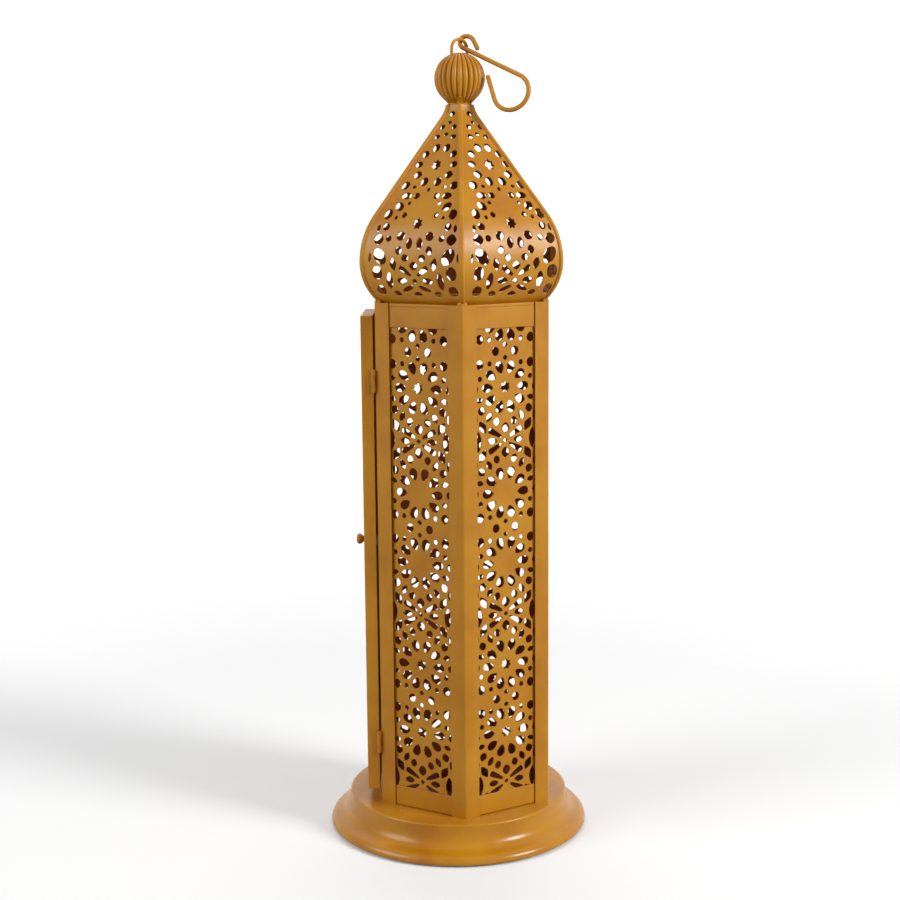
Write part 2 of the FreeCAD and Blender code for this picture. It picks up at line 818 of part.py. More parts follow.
def make_finial_ball():
    """Ball with pressed upright ribs: flat facets between star-shaped rings."""
    rings = []
    for radius, height in ball_sections():
        hollow = radius - float(S.ball_flute) * radius / float(S.ball_radius)
        ring = []
        for k in range(2 * BALL_RIBS):
            reach = radius if k % 2 == 0 else hollow
            angle = math.pi * k / BALL_RIBS
            ring.append(Vector(reach * math.cos(angle), reach * math.sin(angle), height))
        rings.append(ring)
    bore = Part.makeCylinder(float(S.finial_screw_radius + S.thread_fit), float(S.finial_screw_depth))
    ball = doc.addObject("Part::Feature", "finial_ball")
    ball.Shape = faceted(rings).cut(bore)
    keep(ball, "finial_ball")
    seat(ball, BODY_X, 0, BALL_FOOT)


def make_finial_screw():
    """Screw that holds the ball on the neck plate from inside the dome."""
    body = new_body("finial_screw")
    head = new_sketch(body, "head", "XY_Plane", -S.finial_head_height)
    hexagon(head, S.finial_head_radius)
    pad(body, head, S.finial_head_height)
    shank = new_sketch(body, "shank")
    circle(shank, 0, 0, S.finial_screw_radius)
    pad(body, shank, S.neck_plate_sheet + S.finial_screw_depth)
    seat(body, BODY_X, 0, DOME_TOP)


def bent_wire(path, side, radius):
    """Wire of WIRE_SIDES facets along a flat path; side is the normal of the path's plane."""
    rings = []
    for i, point in enumerate(path):
        before = (point - path[i - 1]).normalize() if i else None
        after = (path[i + 1] - point).normalize() if i + 1 < len(path) else None
        first = before or after
        last = after or before
        ahead = (first + last).normalize()
        across = side.cross(ahead).normalize()
        stretch = 1.0 / ahead.dot(first)
        ring = []
        for k in range(WIRE_SIDES):
            angle = 2 * math.pi * (k + 0.5) / WIRE_SIDES
            ring.append(point + across * (radius * stretch * math.cos(angle))
                        + side * (radius * math.sin(angle)))
        rings.append(ring)
    return faceted(rings)


def arc_points(centre, radius, start, end, step):
    """Points of an arc in the path's own plane, about one per step of angle."""
    count = max(2, round(abs(end - start) / step))
    points = []
    for k in range(count + 1):
        angle = math.radians(start + (end - start) * k / count)
        points.append(centre + Vector(radius * math.cos(angle), radius * math.sin(angle), 0))
    return points


def staple_frame():
    """Middle of the staple's arch, and its level direction."""
    turn = math.radians(float(S.staple_turn_angle))
    level = Vector(math.sin(turn), math.cos(turn), 0)
    middle = Vector(float(BODY_X), 0, float(BALL_FOOT) + ball_height() + float(S.staple_leg))
    return middle, level


def make_staple():
    """Arch of wire with both ends sunk in the top of the ball."""
    middle, level = staple_frame()
    up = Vector(0, 0, 1)
    drop = float(S.staple_leg + S.staple_root)
    flat = arc_points(Vector(0, 0, 0), float(S.staple_radius), 180, 0, 18)
    flat = [Vector(-float(S.staple_radius), -drop, 0)] + flat + [Vector(float(S.staple_radius), -drop, 0)]
    path = [middle + level * spot.x + up * spot.y for spot in flat]
    staple = doc.addObject("Part::Feature", "hanging_staple")
    staple.Shape = bent_wire(path, level.cross(up), float(S.staple_wire))
    keep(staple, "hanging_staple")


def hook_frame():
    """Eye centre, level direction, upward direction and normal of the hook's plane."""
    middle, level = staple_frame()
    slip = math.radians(float(S.hook_slip_angle))
    spot = middle + (level * math.sin(slip) + Vector(0, 0, 1) * math.cos(slip)) * float(S.staple_radius)
    turn = Rotation(Vector(0, 0, 1), -float(S.hook_turn_angle))
    right = turn.multVec(Vector(1, 0, 0))
    lean = Rotation(right, -float(S.hook_lean_angle))
    up = lean.multVec(Vector(0, 0, 1))
    return spot + right * float(S.eye_offset), right, up, up.cross(right)


def hook_path():
    """Eye, straight arm and round hook in the hook's own plane, the arm along +X below the eye."""
    eye = float(S.eye_radius)
    loop = float(S.loop_radius)
    arm = float(S.hook_arm)
    rise = math.radians(55)
    tail = Vector(math.sin(rise), -math.cos(rise), 0)
    eye_points = arc_points(Vector(0, eye, 0), eye, 55, 270, 20)
    path = [eye_points[0] + tail * float(S.eye_tail)] + eye_points
    last = 90 - float(S.loop_wrap_angle)
    loop_points = arc_points(Vector(arm, -loop, 0), loop, 90, last, 15)
    end = loop_points[-1]
    leave = math.radians(last - 90)
    path += loop_points
    path.append(end + Vector(math.cos(leave), math.sin(leave), 0) * float(S.hook_tail))
    return path


def make_hook():
    """Wire hook hung by its eye in the staple, lying against the ball."""
    eye, right, up, normal = hook_frame()
    droop = math.radians(float(S.hook_droop_angle))
    along = right * math.cos(droop) - up * math.sin(droop)
    above = right * math.sin(droop) + up * math.cos(droop)
    path = [eye + along * spot.x + above * (spot.y - float(S.eye_radius)) for spot in hook_path()]
    hook = doc.addObject("Part::Feature", "hook")
    hook.Shape = bent_wire(path, normal, float(S.hook_wire))
    keep(hook, "hook")
    axis = normal * -1
    print("hook axis through", [round(value, 3) for value in eye], "along", [round(value, 5) for value in axis])


# ---------------------------------------------------------------- assembly and export

def check_and_export():
    """Stop on any failed object, then write one file per sub-part."""
    for item in doc.Objects:
        if "Invalid" in item.State or "Error" in item.State:
            raise RuntimeError(f"{item.Name} failed: {item.State}")
    for item in nodes:
        if item.Shape.isNull() or not item.Shape.isValid() or not item.Shape.Solids:
            raise RuntimeError(f"{item.Label} has no valid solid")
    os.makedirs("parts", exist_ok=True)
    for item in nodes:
        item.Shape.exportStep(f"parts/{item.Label}.step")
    print(len(nodes), "sub-parts written")


make_base()
make_floor_plate()
make_candle_cup()
for corner_name, corner_angle in CORNERS.items():
    make_post(corner_name, corner_angle)
make_band("bottom_band", S.bottom_band_height, S.foot_height)
make_band("top_band", S.top_band_height, CAP_TOP - S.top_band_drop - S.top_band_height)
make_top_cap()
for face_name, face_angle in FACES.items():
    make_panel(face_name, face_angle)
make_door_frame()
make_door_panel()
make_hinge("lower", S.door_bottom + S.hinge_low_inset)
make_hinge("upper", DOOR_TOP - S.hinge_high_inset - S.hinge_height)
make_knob()
make_catch()
for face_name, face_angle in {**FACES, "left": DOOR_FACE}.items():
    make_petal(face_name, face_angle)
for corner_name, corner_angle in CORNERS.items():
    make_rib(corner_name, corner_angle)
make_neck_plate()
make_finial_ball()
make_finial_screw()
make_staple()
make_hook()
doc.recompute()
check_and_export()
print("hinge axis at", round(float(BODY_X - HINGE_X), 3), round(float(-HINGE_Y), 3))
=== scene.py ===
import json
import math

import bmesh
import bpy
import numpy as np
from mathutils import Matrix, Vector
from mathutils.geometry import delaunay_2d_cdt


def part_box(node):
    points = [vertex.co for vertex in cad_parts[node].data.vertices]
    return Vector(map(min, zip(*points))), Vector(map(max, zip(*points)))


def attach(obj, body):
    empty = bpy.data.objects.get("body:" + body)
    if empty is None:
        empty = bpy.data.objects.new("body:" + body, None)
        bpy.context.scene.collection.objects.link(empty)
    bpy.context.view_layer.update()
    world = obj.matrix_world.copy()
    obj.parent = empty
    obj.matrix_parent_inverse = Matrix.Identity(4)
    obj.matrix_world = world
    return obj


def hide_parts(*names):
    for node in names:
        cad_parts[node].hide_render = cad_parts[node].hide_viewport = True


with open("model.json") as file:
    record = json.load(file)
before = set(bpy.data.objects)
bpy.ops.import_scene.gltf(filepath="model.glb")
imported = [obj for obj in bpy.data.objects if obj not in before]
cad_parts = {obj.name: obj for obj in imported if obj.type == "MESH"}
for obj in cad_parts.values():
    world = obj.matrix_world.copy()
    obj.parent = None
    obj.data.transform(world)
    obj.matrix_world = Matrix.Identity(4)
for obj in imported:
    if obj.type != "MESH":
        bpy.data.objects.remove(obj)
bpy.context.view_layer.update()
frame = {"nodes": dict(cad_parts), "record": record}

MM = 0.001  # every length below is in millimetres


def low(node):
    """Lowest corner of a CAD node's box, in millimetres."""
    return np.array(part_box(node)[0]) / MM


def high(node):
    """Highest corner of a CAD node's box, in millimetres."""
    return np.array(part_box(node)[1]) / MM


# ---------------- sizes

# read from the frame
AXIS_X = (low("top_band")[0] + high("top_band")[0]) / 2  # a little right of the foot's
FLOOR = low("post_front")[2]  # top of the foot
CAP_TOP = high("top_cap")[2]  # where the dome stands
DOME_TOP = low("neck_plate")[2]
CORNER = -low("post_front")[1]  # radius of the six corners
COS30 = math.cos(math.radians(30))
TAN30 = math.tan(math.radians(30))
APOTHEM = CORNER * COS30

# as in the part
SHEET = 1.0
FLANGE = 12.0
PANEL_FACE = APOTHEM - 2 * SHEET
PANEL_HALF = CORNER / 2 - FLANGE + 5.0
CUT_LIP = 0.2  # how far thick paint swells into a hole
CUT_LIP_DEPTH = 0.32  # and where, as a share of the sheet's thickness
RIB_WIDTH = 3.5
RIB_PROUD = 1.2  # out of the petals
RIB_DEPTH = 3.4
BALL_RADIUS = 19.0
BALL_FOOT = 9.3  # radius of the flat at the ball's foot
BALL_TOP = 4.0  # and at its top
BALL_RIBS = 26
BALL_GROOVE = 1.9  # depth between the ribs
STAPLE_WIRE = 1.25  # wire sizes are radii
STAPLE_RADIUS = 7.5
STAPLE_LEG = 2.5
STAPLE_TURN = 49.5  # degrees, from across
HOOK_WIRE = 1.8

CORNERS = {"front": -90, "front_right": -30, "back_right": 30,
           "back": 90, "back_left": 150, "front_left": 210}
FACES = {"front_left": 240, "front_right": 300, "right": 0, "back_right": 60, "back_left": 120}
DOOR_FACE = 180

UP = np.array([0, 0, 1])
INWARD = -0.35  # a face whose normal leans in more than this is inside
TINY = 1e-9  # keeps a length that is divided by off zero


# ---------------- mesh helpers

def paint_shade_inside(mesh):
    """Gives the faces that look at the body's axis the inside's painted shade: a darker brown that
    stands in for the little light that reaches in.
    """
    count = len(mesh.polygons)
    normals, centres = np.zeros(count * 3), np.zeros(count * 3)
    mesh.polygons.foreach_get("normal", normals)
    mesh.polygons.foreach_get("center", centres)
    outward = centres.reshape(-1, 3)[:, :2] - np.array([AXIS_X, 0]) * MM
    outward /= np.linalg.norm(outward, axis=1, keepdims=True) + TINY
    facing = np.sum(normals.reshape(-1, 3)[:, :2] * outward, axis=1)
    mesh.materials.append(INSIDE_SHADE_PAINT)
    mesh.polygons.foreach_set("material_index", (facing < INWARD).astype(np.int32))


def add(name, data):
    """A new object in the scene."""
    thing = bpy.data.objects.new(name, data)
    bpy.context.scene.collection.objects.link(thing)
    return thing


def make(name, points, faces, material, stands_for, body="lantern", sharp=38, inside_shaded=False):
    """A finished piece from points in millimetres and faces as lists of point numbers."""
    mesh = bpy.data.meshes.new(name)
    mesh.from_pydata(np.asarray(points, float) * MM, [], [list(map(int, face)) for face in faces])
    shell = bmesh.new()
    shell.from_mesh(mesh)
    bmesh.ops.recalc_face_normals(shell, faces=shell.faces)
    shell.to_mesh(mesh)
    shell.free()
    mesh.polygons.foreach_set("use_smooth", np.ones(len(mesh.polygons), bool))
    mesh.set_sharp_from_angle(angle=math.radians(sharp))
    mesh.materials.append(material)
    # faces that look inwards get the inside's painted shade
    if inside_shaded:
        paint_shade_inside(mesh)
    piece = add(name, mesh)
    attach(piece, body)
    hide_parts(*stands_for)
    return piece


def soften(piece, width, segments=3):
    """Rounds the folds and cut edges of a sheet piece."""
    bevel = piece.modifiers.new("folds", "BEVEL")
    bevel.width = width * MM
    bevel.segments = segments
    bevel.limit_method = "ANGLE"
    bevel.angle_limit = math.radians(30)
    bevel.harden_normals = True
    return piece


def quads(rows, columns, wrap_rows=False, wrap_columns=True):
    """Faces of a grid of points numbered row by row, closed round its rows or columns if asked."""
    r, c = np.meshgrid(np.arange(rows - (not wrap_rows)), np.arange(columns - (not wrap_columns)),
                       indexing="ij")
    r2, c2 = (r + 1) % rows, (c + 1) % columns
    corners = (r * columns + c, r * columns + c2, r2 * columns + c2, r2 * columns + c)
    return np.stack(corners, -1).reshape(-1, 4).tolist()


def skin(rings, closed=False):
    """Surface through equal rings of points: quads between them, and flat ends unless closed."""
    rings = np.asarray(rings, float)
    rows, columns = rings.shape[:2]
    faces = quads(rows, columns, wrap_rows=closed)
    if not closed:
        faces.append(list(range(columns))[::-1])
        faces.append([(rows - 1) * columns + k for k in range(columns)])
    return rings.reshape(-1, 3), faces


def join(*parts):
    """Several point-and-face sets as one."""
    points, faces, start = [], [], 0
    for spots, loops in parts:
        points.append(np.asarray(spots, float))
        faces += [[k + start for k in loop] for loop in loops]
        start += len(spots)
    return np.concatenate(points), faces


def turned(profile, x, y, z, sides):
    """Surface of revolution (radius cos t, radius sin t, height) about an upright axis at x, y, from
    (radius, height) pairs; radius 0 makes a pole."""
    profile = np.asarray(profile, float)
    turn = np.linspace(0, 2 * math.pi, sides, endpoint=False)
    radius, height = profile[:, :1], profile[:, 1:]
    return np.stack([x + radius * np.cos(turn), y + radius * np.sin(turn), z + height + 0 * turn], -1)


def pole_skin(rings):
    """A turned surface whose first and last rings may have shrunk to a point; those are merged."""
    rows, sides = rings.shape[:2]
    first, last = rings[0], rings[-1]
    start_pole = np.ptp(first, 0).max() < 1e-6
    end_pole = np.ptp(last, 0).max() < 1e-6
    body = rings[int(start_pole):rows - int(end_pole)]
    points = body.reshape(-1, 3)
    faces = quads(len(body), sides)
    ring = np.arange(sides)
    if start_pole:
        faces += [[len(points), (k + 1) % sides, k] for k in ring]
        points = np.vstack([points, first[:1]])
    if end_pole:
        base = (len(body) - 1) * sides
        faces += [[len(points), base + k, base + (k + 1) % sides] for k in ring]
        points = np.vstack([points, last[:1]])
    return points, faces


def arc(centre, radius, start, end, count):
    """Points centre + radius (cos t, sin t) of an arc, angles in degrees."""
    turn = np.radians(np.linspace(start, end, count))
    return np.stack([centre[0] + radius * np.cos(turn), centre[1] + radius * np.sin(turn)], -1)


def heading(degrees):
    """Unit direction (cos t, sin t) in a plane."""
    turn = math.radians(degrees)
    return np.array([math.cos(turn), math.sin(turn)])


def rounded(corners, radii, count=6):
    """A closed outline whose corners are arcs tangent to both sides: an arc touches its sides at
    radius / tan(half the angle) from the corner and has its centre at radius / sin(half)."""
    corners = np.asarray(corners, float)
    pieces = []
    for k, radius in enumerate(radii):
        before, here, after = corners[k - 1], corners[k], corners[(k + 1) % len(corners)]
        if radius <= 0:
            pieces.append(here[None])
            continue
        a = (before - here) / np.linalg.norm(before - here)
        b = (after - here) / np.linalg.norm(after - here)
        half = math.acos(float(np.clip(a @ b, -1, 1))) / 2
        start = here + a * radius / math.tan(half)
        end = here + b * radius / math.tan(half)
        centre = here + (a + b) / np.linalg.norm(a + b) * radius / math.sin(half)
        share = np.linspace(0, 1, count)[:, None]
        chord = start * (1 - share) + end * share - centre
        pieces.append(centre + chord / np.linalg.norm(chord, axis=1, keepdims=True) * radius)
    return np.vstack(pieces)


def face_point(angle, out, across, height):
    """From face coordinates (outwards, sideways, up), turned about the body's axis, to the frame."""
    turn = math.radians(angle)
    out, across, height = np.broadcast_arrays(out, across, height)
    return np.stack([AXIS_X + out * math.cos(turn) - across * math.sin(turn),
                     out * math.sin(turn) + across * math.cos(turn), height], -1)


def upright(outline, start, end, angle):
    """A level outline turned about the body's axis and drawn up from one height to another."""
    return skin([face_point(angle, outline[:, 0], outline[:, 1], level) for level in (start, end)])


def round_hexagon(section):
    """An (apothem, height) section carried round the six sides, mitred at the corners, which stand
    at apothem / cos 30 degrees from the axis."""
    apothem, height = np.asarray(section, float).T
    return skin([face_point(angle, apothem / COS30, 0, height) for angle in range(-90, 270, 60)],
                closed=True)


def tangents(path):
    """Unit direction of a path at each point."""
    ahead = np.gradient(path, axis=0)
    return ahead / np.linalg.norm(ahead, axis=1, keepdims=True)


def tube(path, radius):
    """A round wire along a path: each ring is centre + radius (cos t normal + sin t side), its normal
    the last one's less its part along the path, so that it doesn't twist. The ends are half balls."""
    sides, ends = 20, 5
    path = np.asarray(path, float)
    ahead = tangents(path)
    normal = np.zeros_like(path)
    seed = np.array([0.31, 0.87, 0.38])
    seed = seed - ahead[0] * (seed @ ahead[0])
    for k, way in enumerate(ahead):
        seed = seed - way * (seed @ way)
        seed = seed / np.linalg.norm(seed)
        normal[k] = seed
    side = np.cross(ahead, normal)
    dome = np.radians(np.linspace(90, 10, ends))
    start = [(path[0] - ahead[0] * radius * math.sin(a), 0, radius * math.cos(a)) for a in dome]
    finish = [(path[-1] + ahead[-1] * radius * math.sin(a), -1, radius * math.cos(a))
              for a in dome[::-1]]
    stops = start + [(spot, k, radius) for k, spot in enumerate(path)] + finish
    turn = np.linspace(0, 2 * math.pi, sides, endpoint=False)[:, None]
    rings = [centre + size * (np.cos(turn) * normal[k] + np.sin(turn) * side[k])
             for centre, k, size in stops]
    return pole_skin(np.array(rings))


# ---------------- pierced sheets

def placed(u, v, x, z, turn):
    """A flat figure u, v turned about its origin, in degrees, and moved to x, z."""
    a = math.radians(turn)
    return np.stack([x + u * math.cos(a) - v * math.sin(a), z + u * math.sin(a) + v * math.cos(a)], -1)


def oval(x, z, width, height, turn=0.0, power=2.0, count=16):
    """Closed curve |2x / width|^p + |2z / height|^p = 1, turned and moved to x, z: power 2 is an
    ellipse, near 1 a kite, 4 a rounded bar."""
    t = np.linspace(0, 2 * math.pi, count, endpoint=False)
    u = np.sign(np.cos(t)) * np.abs(np.cos(t)) ** (2 / power) * width / 2
    v = np.sign(np.sin(t)) * np.abs(np.sin(t)) ** (2 / power) * height / 2
    return placed(u, v, x, z, turn)


def drop(x, z, length, width, turn):
    """Tear shape along the turn, (-cos t, sin t |sin t/2|^taper): round far off, pointed near."""
    taper, fullness = 0.45, 1.15  # fullness brings the widest place back to the width
    t = np.linspace(0, 2 * math.pi, 16, endpoint=False)
    u = -np.cos(t) * length / 2
    v = np.sin(t) * np.abs(np.sin(t / 2)) ** taper * width / 2 * fullness
    return placed(u, v, x, z, turn)


def star(x, z, radius):
    """Small star: its radius, radius (1 - dip + dip cos(points t)), rises once for each point."""
    points, dip = 7, 0.16
    t = np.linspace(0, 2 * math.pi, points * 4, endpoint=False)
    r = radius * (1 - dip + dip * np.cos(points * t))
    return np.stack([x + r * np.sin(t), z + r * np.cos(t)], -1)


def wedge(x1, z1, x2, z2, start, end):
    """Rounded slot between two points: an oval of power 3.6 whose width runs from start to end."""
    length = math.hypot(x2 - x1, z2 - z1)
    flat = oval(0, 0, length, 1.0, 0, 3.6, 20)
    width = start + (end - start) * (flat[:, 0] / length + 0.5)
    turn = math.degrees(math.atan2(z2 - z1, x2 - x1))
    return placed(flat[:, 0], flat[:, 1] * width, (x1 + x2) / 2, (z1 + z2) / 2, turn)


def twice_area(loop):
    """Twice a loop's area, the sum of x times the next z less z times the next x; positive if the
    loop runs anticlockwise."""
    ahead = np.roll(loop, -1, 0)
    return float(np.sum(loop[:, 0] * ahead[:, 1] - loop[:, 1] * ahead[:, 0]))


def pierced(outline, holes, levels, lift):
    """Sheet with holes: the flat figure is triangulated, then lifted to its front and back faces.
    The cut edges swell into the holes by CUT_LIP a third of the way down, as thick paint does."""
    loops = [np.asarray(outline, float)] + holes
    loops = [loop if twice_area(loop) > 0 else loop[::-1] for loop in loops]
    spots = np.vstack(loops)
    starts = np.cumsum([0] + [len(loop) for loop in loops])
    rims = [list(range(start, end)) for start, end in zip(starts, starts[1:])]
    left, right = spots[:, 0].min() - 1, spots[:, 0].max() + 1
    lines = np.array([[(left, level), (right, level)] for level in levels]).reshape(-1, 2)
    edges = [(len(spots) + 2 * k, len(spots) + 2 * k + 1) for k in range(len(levels))]
    every = np.vstack([spots, lines]) if len(lines) else spots
    # rim 0 is the outline: a triangle with no other origin lies in the sheet and in no hole
    figure = delaunay_2d_cdt([Vector(spot) for spot in every], edges, rims, 1, 1e-6)
    flat, triangles, origins = figure[0], figure[2], figure[5]
    kept = np.array([tri for tri, origin in zip(triangles, origins) if origin == [0] and len(tri) == 3])
    flat = np.array([tuple(spot) for spot in flat])
    used, kept = np.unique(kept, return_inverse=True)
    kept = kept.reshape(-1, 3)
    flat = flat[used]
    area = np.cross(flat[kept[:, 1]] - flat[kept[:, 0]], flat[kept[:, 2]] - flat[kept[:, 0]])
    kept[area < 0] = kept[area < 0][:, ::-1]
    # a side that no neighbour has the other way round is on a rim
    count = len(flat)
    sides = np.concatenate([kept[:, [0, 1]], kept[:, [1, 2]], kept[:, [2, 0]]])
    keys = sides[:, 0] * count + sides[:, 1]
    rim = sides[~np.isin(keys, sides[:, 1] * count + sides[:, 0])]
    along = flat[rim[:, 1]] - flat[rim[:, 0]]
    off = np.zeros_like(flat)
    for end in (0, 1):
        np.add.at(off, rim[:, end], along[:, ::-1] * [1, -1])
    off /= np.linalg.norm(off, axis=1, keepdims=True) + TINY
    points = np.vstack([lift(flat, 0.0), lift(flat, SHEET),
                        lift(flat + CUT_LIP * off, CUT_LIP_DEPTH * SHEET)])
    waist = rim + 2 * count
    walls = [np.stack([rim[:, 1], rim[:, 0], waist[:, 0], waist[:, 1]], -1),
             np.stack([waist[:, 1], waist[:, 0], rim[:, 0] + count, rim[:, 1] + count], -1)]
    return points, kept.tolist() + (kept[:, ::-1] + count).tolist() + np.vstack(walls).tolist()


# a cell of the side panels' lattice: a cluster, a rosette above and below it, and a crossing
CLUSTERS = (88.4, 219.6, 350.8)  # heights of the clusters above the foot
SOLID_HEART = 219.6  # the rosettes round this cluster have no star
ROSETTE_STEP = 26.4
CROSSING_STEP = 65.6
# each side's pattern sits a little off its middle: sideways, down
PATTERN_SHIFT = {240: (-1.7, 1.1), 300: (0.3, 0.3), 0: (0.8, 0.5), 60: (3.0, -6.5), 120: (1.0, -0.5)}


def mirrored(shapes):
    """Each hole and its mirror image about the upright middle line."""
    return [hole * side for hole in shapes for side in (np.array([1, 1]), np.array([-1, 1]))]


def rosette(height, side, heart):
    """Ten tear-shaped slots round a centre and what lies between them and the neighbours; side says
    whether the cluster is above or below, heart whether a star stands in the middle."""
    out, length, width = 15.1, 9.7, 6.9
    holes = []
    for turn in range(72, 432, 36):
        a = math.radians(turn)
        holes.append(drop(out * math.cos(a), height + out * math.sin(a), length, width, turn))
    if heart:
        holes.append(star(0, height, 4.5))
    around = [
        oval(13.4, height + 17.6 * side, 3.7, 4.2),
        oval(21.5, height + 6.9 * side, 4.0, 4.4, 0, 1.7),
        oval(24.9, height - 0.6 * side, 3.6, 6.2, 0, 1.6),
        oval(21.9, height - 8.6 * side, 6.4, 4.4, -18 * side, 1.5),
        oval(20.4, height - 16.6 * side, 6.2, 7.0, 20 * side, 1.7),
        oval(13.9, height - 21.4 * side, 5.0, 8.0, 28 * side, 1.5),
        oval(7.5, height - 25.2 * side, 5.6, 6.6, 14 * side, 1.8),
    ]
    return holes + mirrored(around) + [oval(0, height - 30.2 * side, 7.0, 8.2, 0, 1.7)]


def cluster(height):
    """The ovals and small diamonds between the two rosettes of a pair."""
    holes = mirrored([oval(8.3, height, 6.2, 7.0), oval(21.7, height + 9.2, 6.6, 7.6, 0, 1.8),
                      oval(21.7, height - 9.2, 6.6, 7.6, 0, 1.8)])
    return holes + [oval(0, height + 4.8, 4.2, 4.2, 0, 1.4), oval(0, height - 4.8, 4.2, 4.2, 0, 1.4)]


def crossing(height):
    """Four wedges in an X with ovals and kites at its sides."""
    quarter = []
    for side in (1, -1):
        quarter += [wedge(3.0, height + 2.4 * side, 14.4, height + 8.6 * side, 2.6, 5.6),
                    oval(19.4, height + 10.6 * side, 6.4, 11.0, -30 * side, 1.3),
                    oval(25.2, height + 17.2 * side, 3.0, 7.0)]
    quarter += [oval(11.3, height, 8.2, 5.2, 0, 1.8), oval(23.4, height, 6.2, 15.6, 0, 1.6)]
    return mirrored(quarter) + [oval(0, height, 4.0, 4.0, 0, 1.2)]


def lattice(lowest, highest, shift=0.0, drop_by=0.0):
    """The whole pattern between two heights above the foot, holes cut by an end left out."""
    holes = crossing(CLUSTERS[0] - CROSSING_STEP)
    for height in CLUSTERS:
        holes += cluster(height) + crossing(height + CROSSING_STEP)
        for side in (1, -1):
            holes += rosette(height + ROSETTE_STEP * side, -side, height != SOLID_HEART)
    holes = [hole + [shift, -drop_by] for hole in holes]
    return [hole for hole in holes if hole[:, 1].min() > lowest and hole[:, 1].max() < highest]


def flat_panel(node, angle, face, half, lowest, highest, body="lantern"):
    """A pierced side sheet: the flat figure stands at distance face from the axis."""
    outline = [(-half, lowest), (half, lowest), (half, highest), (-half, highest)]

    def lift(flat, depth):
        """Flat sideways and up, and depth inwards, to the frame."""
        return face_point(angle, face - depth, flat[:, 0], FLOOR + flat[:, 1])

    holes = lattice(lowest, highest, *PATTERN_SHIFT.get(angle, (0, 0)))
    make(f"pierced_{node}", *pierced(outline, holes, [], lift), PAINT, [node], body, inside_shaded=True)


# ---------------- shader maths

class Link:
    """One socket of a material's nodes; sums, differences and products with it add Math nodes."""

    def __init__(self, finish, socket):
        """The socket and the material it belongs to."""
        self.finish, self.socket = finish, socket

    def math(self, operation, *others):
        """One Math node with this socket first."""
        values = dict(enumerate([self, *others]))
        return self.finish.node("ShaderNodeMath", {"operation": operation}, values)

    def __add__(self, other):
        """Sum."""
        return self.math("ADD", other)

    def __mul__(self, other):
        """Product."""
        return self.math("MULTIPLY", other)

    def __radd__(self, other):
        """Sum with a number in front."""
        return self + other

    def __rmul__(self, other):
        """Product with a number in front."""
        return self * other

    def __rsub__(self, other):
        """A number less this socket."""
        return self.finish.node("ShaderNodeMath", {"operation": "SUBTRACT"}, {0: other, 1: self})


class Finish:
    """A material, or the sky, under construction."""

    def __init__(self, name, kind="materials"):
        """An empty node tree of that kind."""
        self.material = getattr(bpy.data, kind).new(name)
        self.material.use_nodes = True
        self.tree = self.material.node_tree
        self.tree.nodes.clear()

    def node(self, kind, settings=None, inputs=None, output=0):
        """Adds a node with its settings, fills its sockets with values or links, gives one output."""
        made = self.tree.nodes.new(kind)
        for key, value in (settings or {}).items():
            if key == "stops":
                self.stops(made.color_ramp, value)
            else:
                setattr(made, key, value)
        for key, value in (inputs or {}).items():
            if isinstance(value, Link):
                self.tree.links.new(value.socket, made.inputs[key])
            else:
                made.inputs[key].default_value = value
        return Link(self, made.outputs[output]) if made.outputs else None

    def seen(self):
        """1 for what the lens sees straight, mirrored or through glass, 0 for light on its way."""
        return sum(self.node("ShaderNodeLightPath", output=kind)
                   for kind in ("Is Camera Ray", "Is Glossy Ray", "Is Transmission Ray"))

    @staticmethod
    def stops(ramp, stops):
        """Places and colours of a ramp."""
        while len(ramp.elements) < len(stops):
            ramp.elements.new(0.5)
        for element, (place, colour) in zip(ramp.elements, stops):
            element.position = place
            element.color = colour

    def noise(self, size, detail=3.0, roughness=0.5, stretch=(1, 1, 1)):
        """Noise with features about size millimetres across, on object coordinates."""
        where = self.node("ShaderNodeTexCoord", output="Object")
        place = self.node("ShaderNodeMapping", inputs={"Vector": where, "Scale": stretch})
        return self.node("ShaderNodeTexNoise", inputs={"Vector": place, "Scale": 1 / (size * MM),
                                                       "Detail": detail, "Roughness": roughness})

    def ramp(self, value, stops):
        """Colour ramp of a value, its stops as (place, colour)."""
        return self.node("ShaderNodeValToRGB", {"stops": stops}, {0: value})

    def mix(self, share, first, second):
        """Colour mix, first at share 0."""
        return self.node("ShaderNodeMix", {"data_type": "RGBA"}, {0: share, 6: first, 7: second},
                         output=2)

    def bump(self, height, distance, strength, below=None):
        """Relief from a height, distance in millimetres, laid over the relief below."""
        inputs = {"Height": height, "Distance": distance * MM, "Strength": strength}
        if below is not None:
            inputs["Normal"] = below
        return self.node("ShaderNodeBump", inputs=inputs)

    def surface(self, **sockets):
        """Ends the material with its shader; underscores in names stand for spaces."""
        named = {key.replace("_", " "): value for key, value in sockets.items()}
        shader = self.node("ShaderNodeBsdfPrincipled", inputs=named)
        self.node("ShaderNodeOutputMaterial", inputs={"Surface": shader})
        return self.material


def srgb(red, green, blue):
    """A colour as a screen shows it, 0 to 255, as the linear colour that a shader takes: c / 12.92
    for dark values, else ((c + 0.055) / 1.055) to the power of 2.4."""
    values = np.array([red, green, blue]) / 255
    linear = np.where(values <= 0.04045, values / 12.92, ((values + 0.055) / 1.055) ** 2.4)
    return (*linear.tolist(), 1.0)


def grey(value):
    """A grey as a shader takes it."""
    return (value, value, value, 1.0)


OCHRE = srgb(184, 123, 14)
OCHRE_DEEP = srgb(170, 107, 7)
OCHRE_PALE = srgb(192, 136, 24)
# the lighter and the deeper brown of the inside's painted shade
INSIDE_SHADE_BROWN = srgb(150, 70, 6)
INSIDE_SHADE_DEEP = srgb(104, 40, 4)
ZINC = srgb(168, 164, 156)
ZINC_DARK = srgb(120, 116, 108)


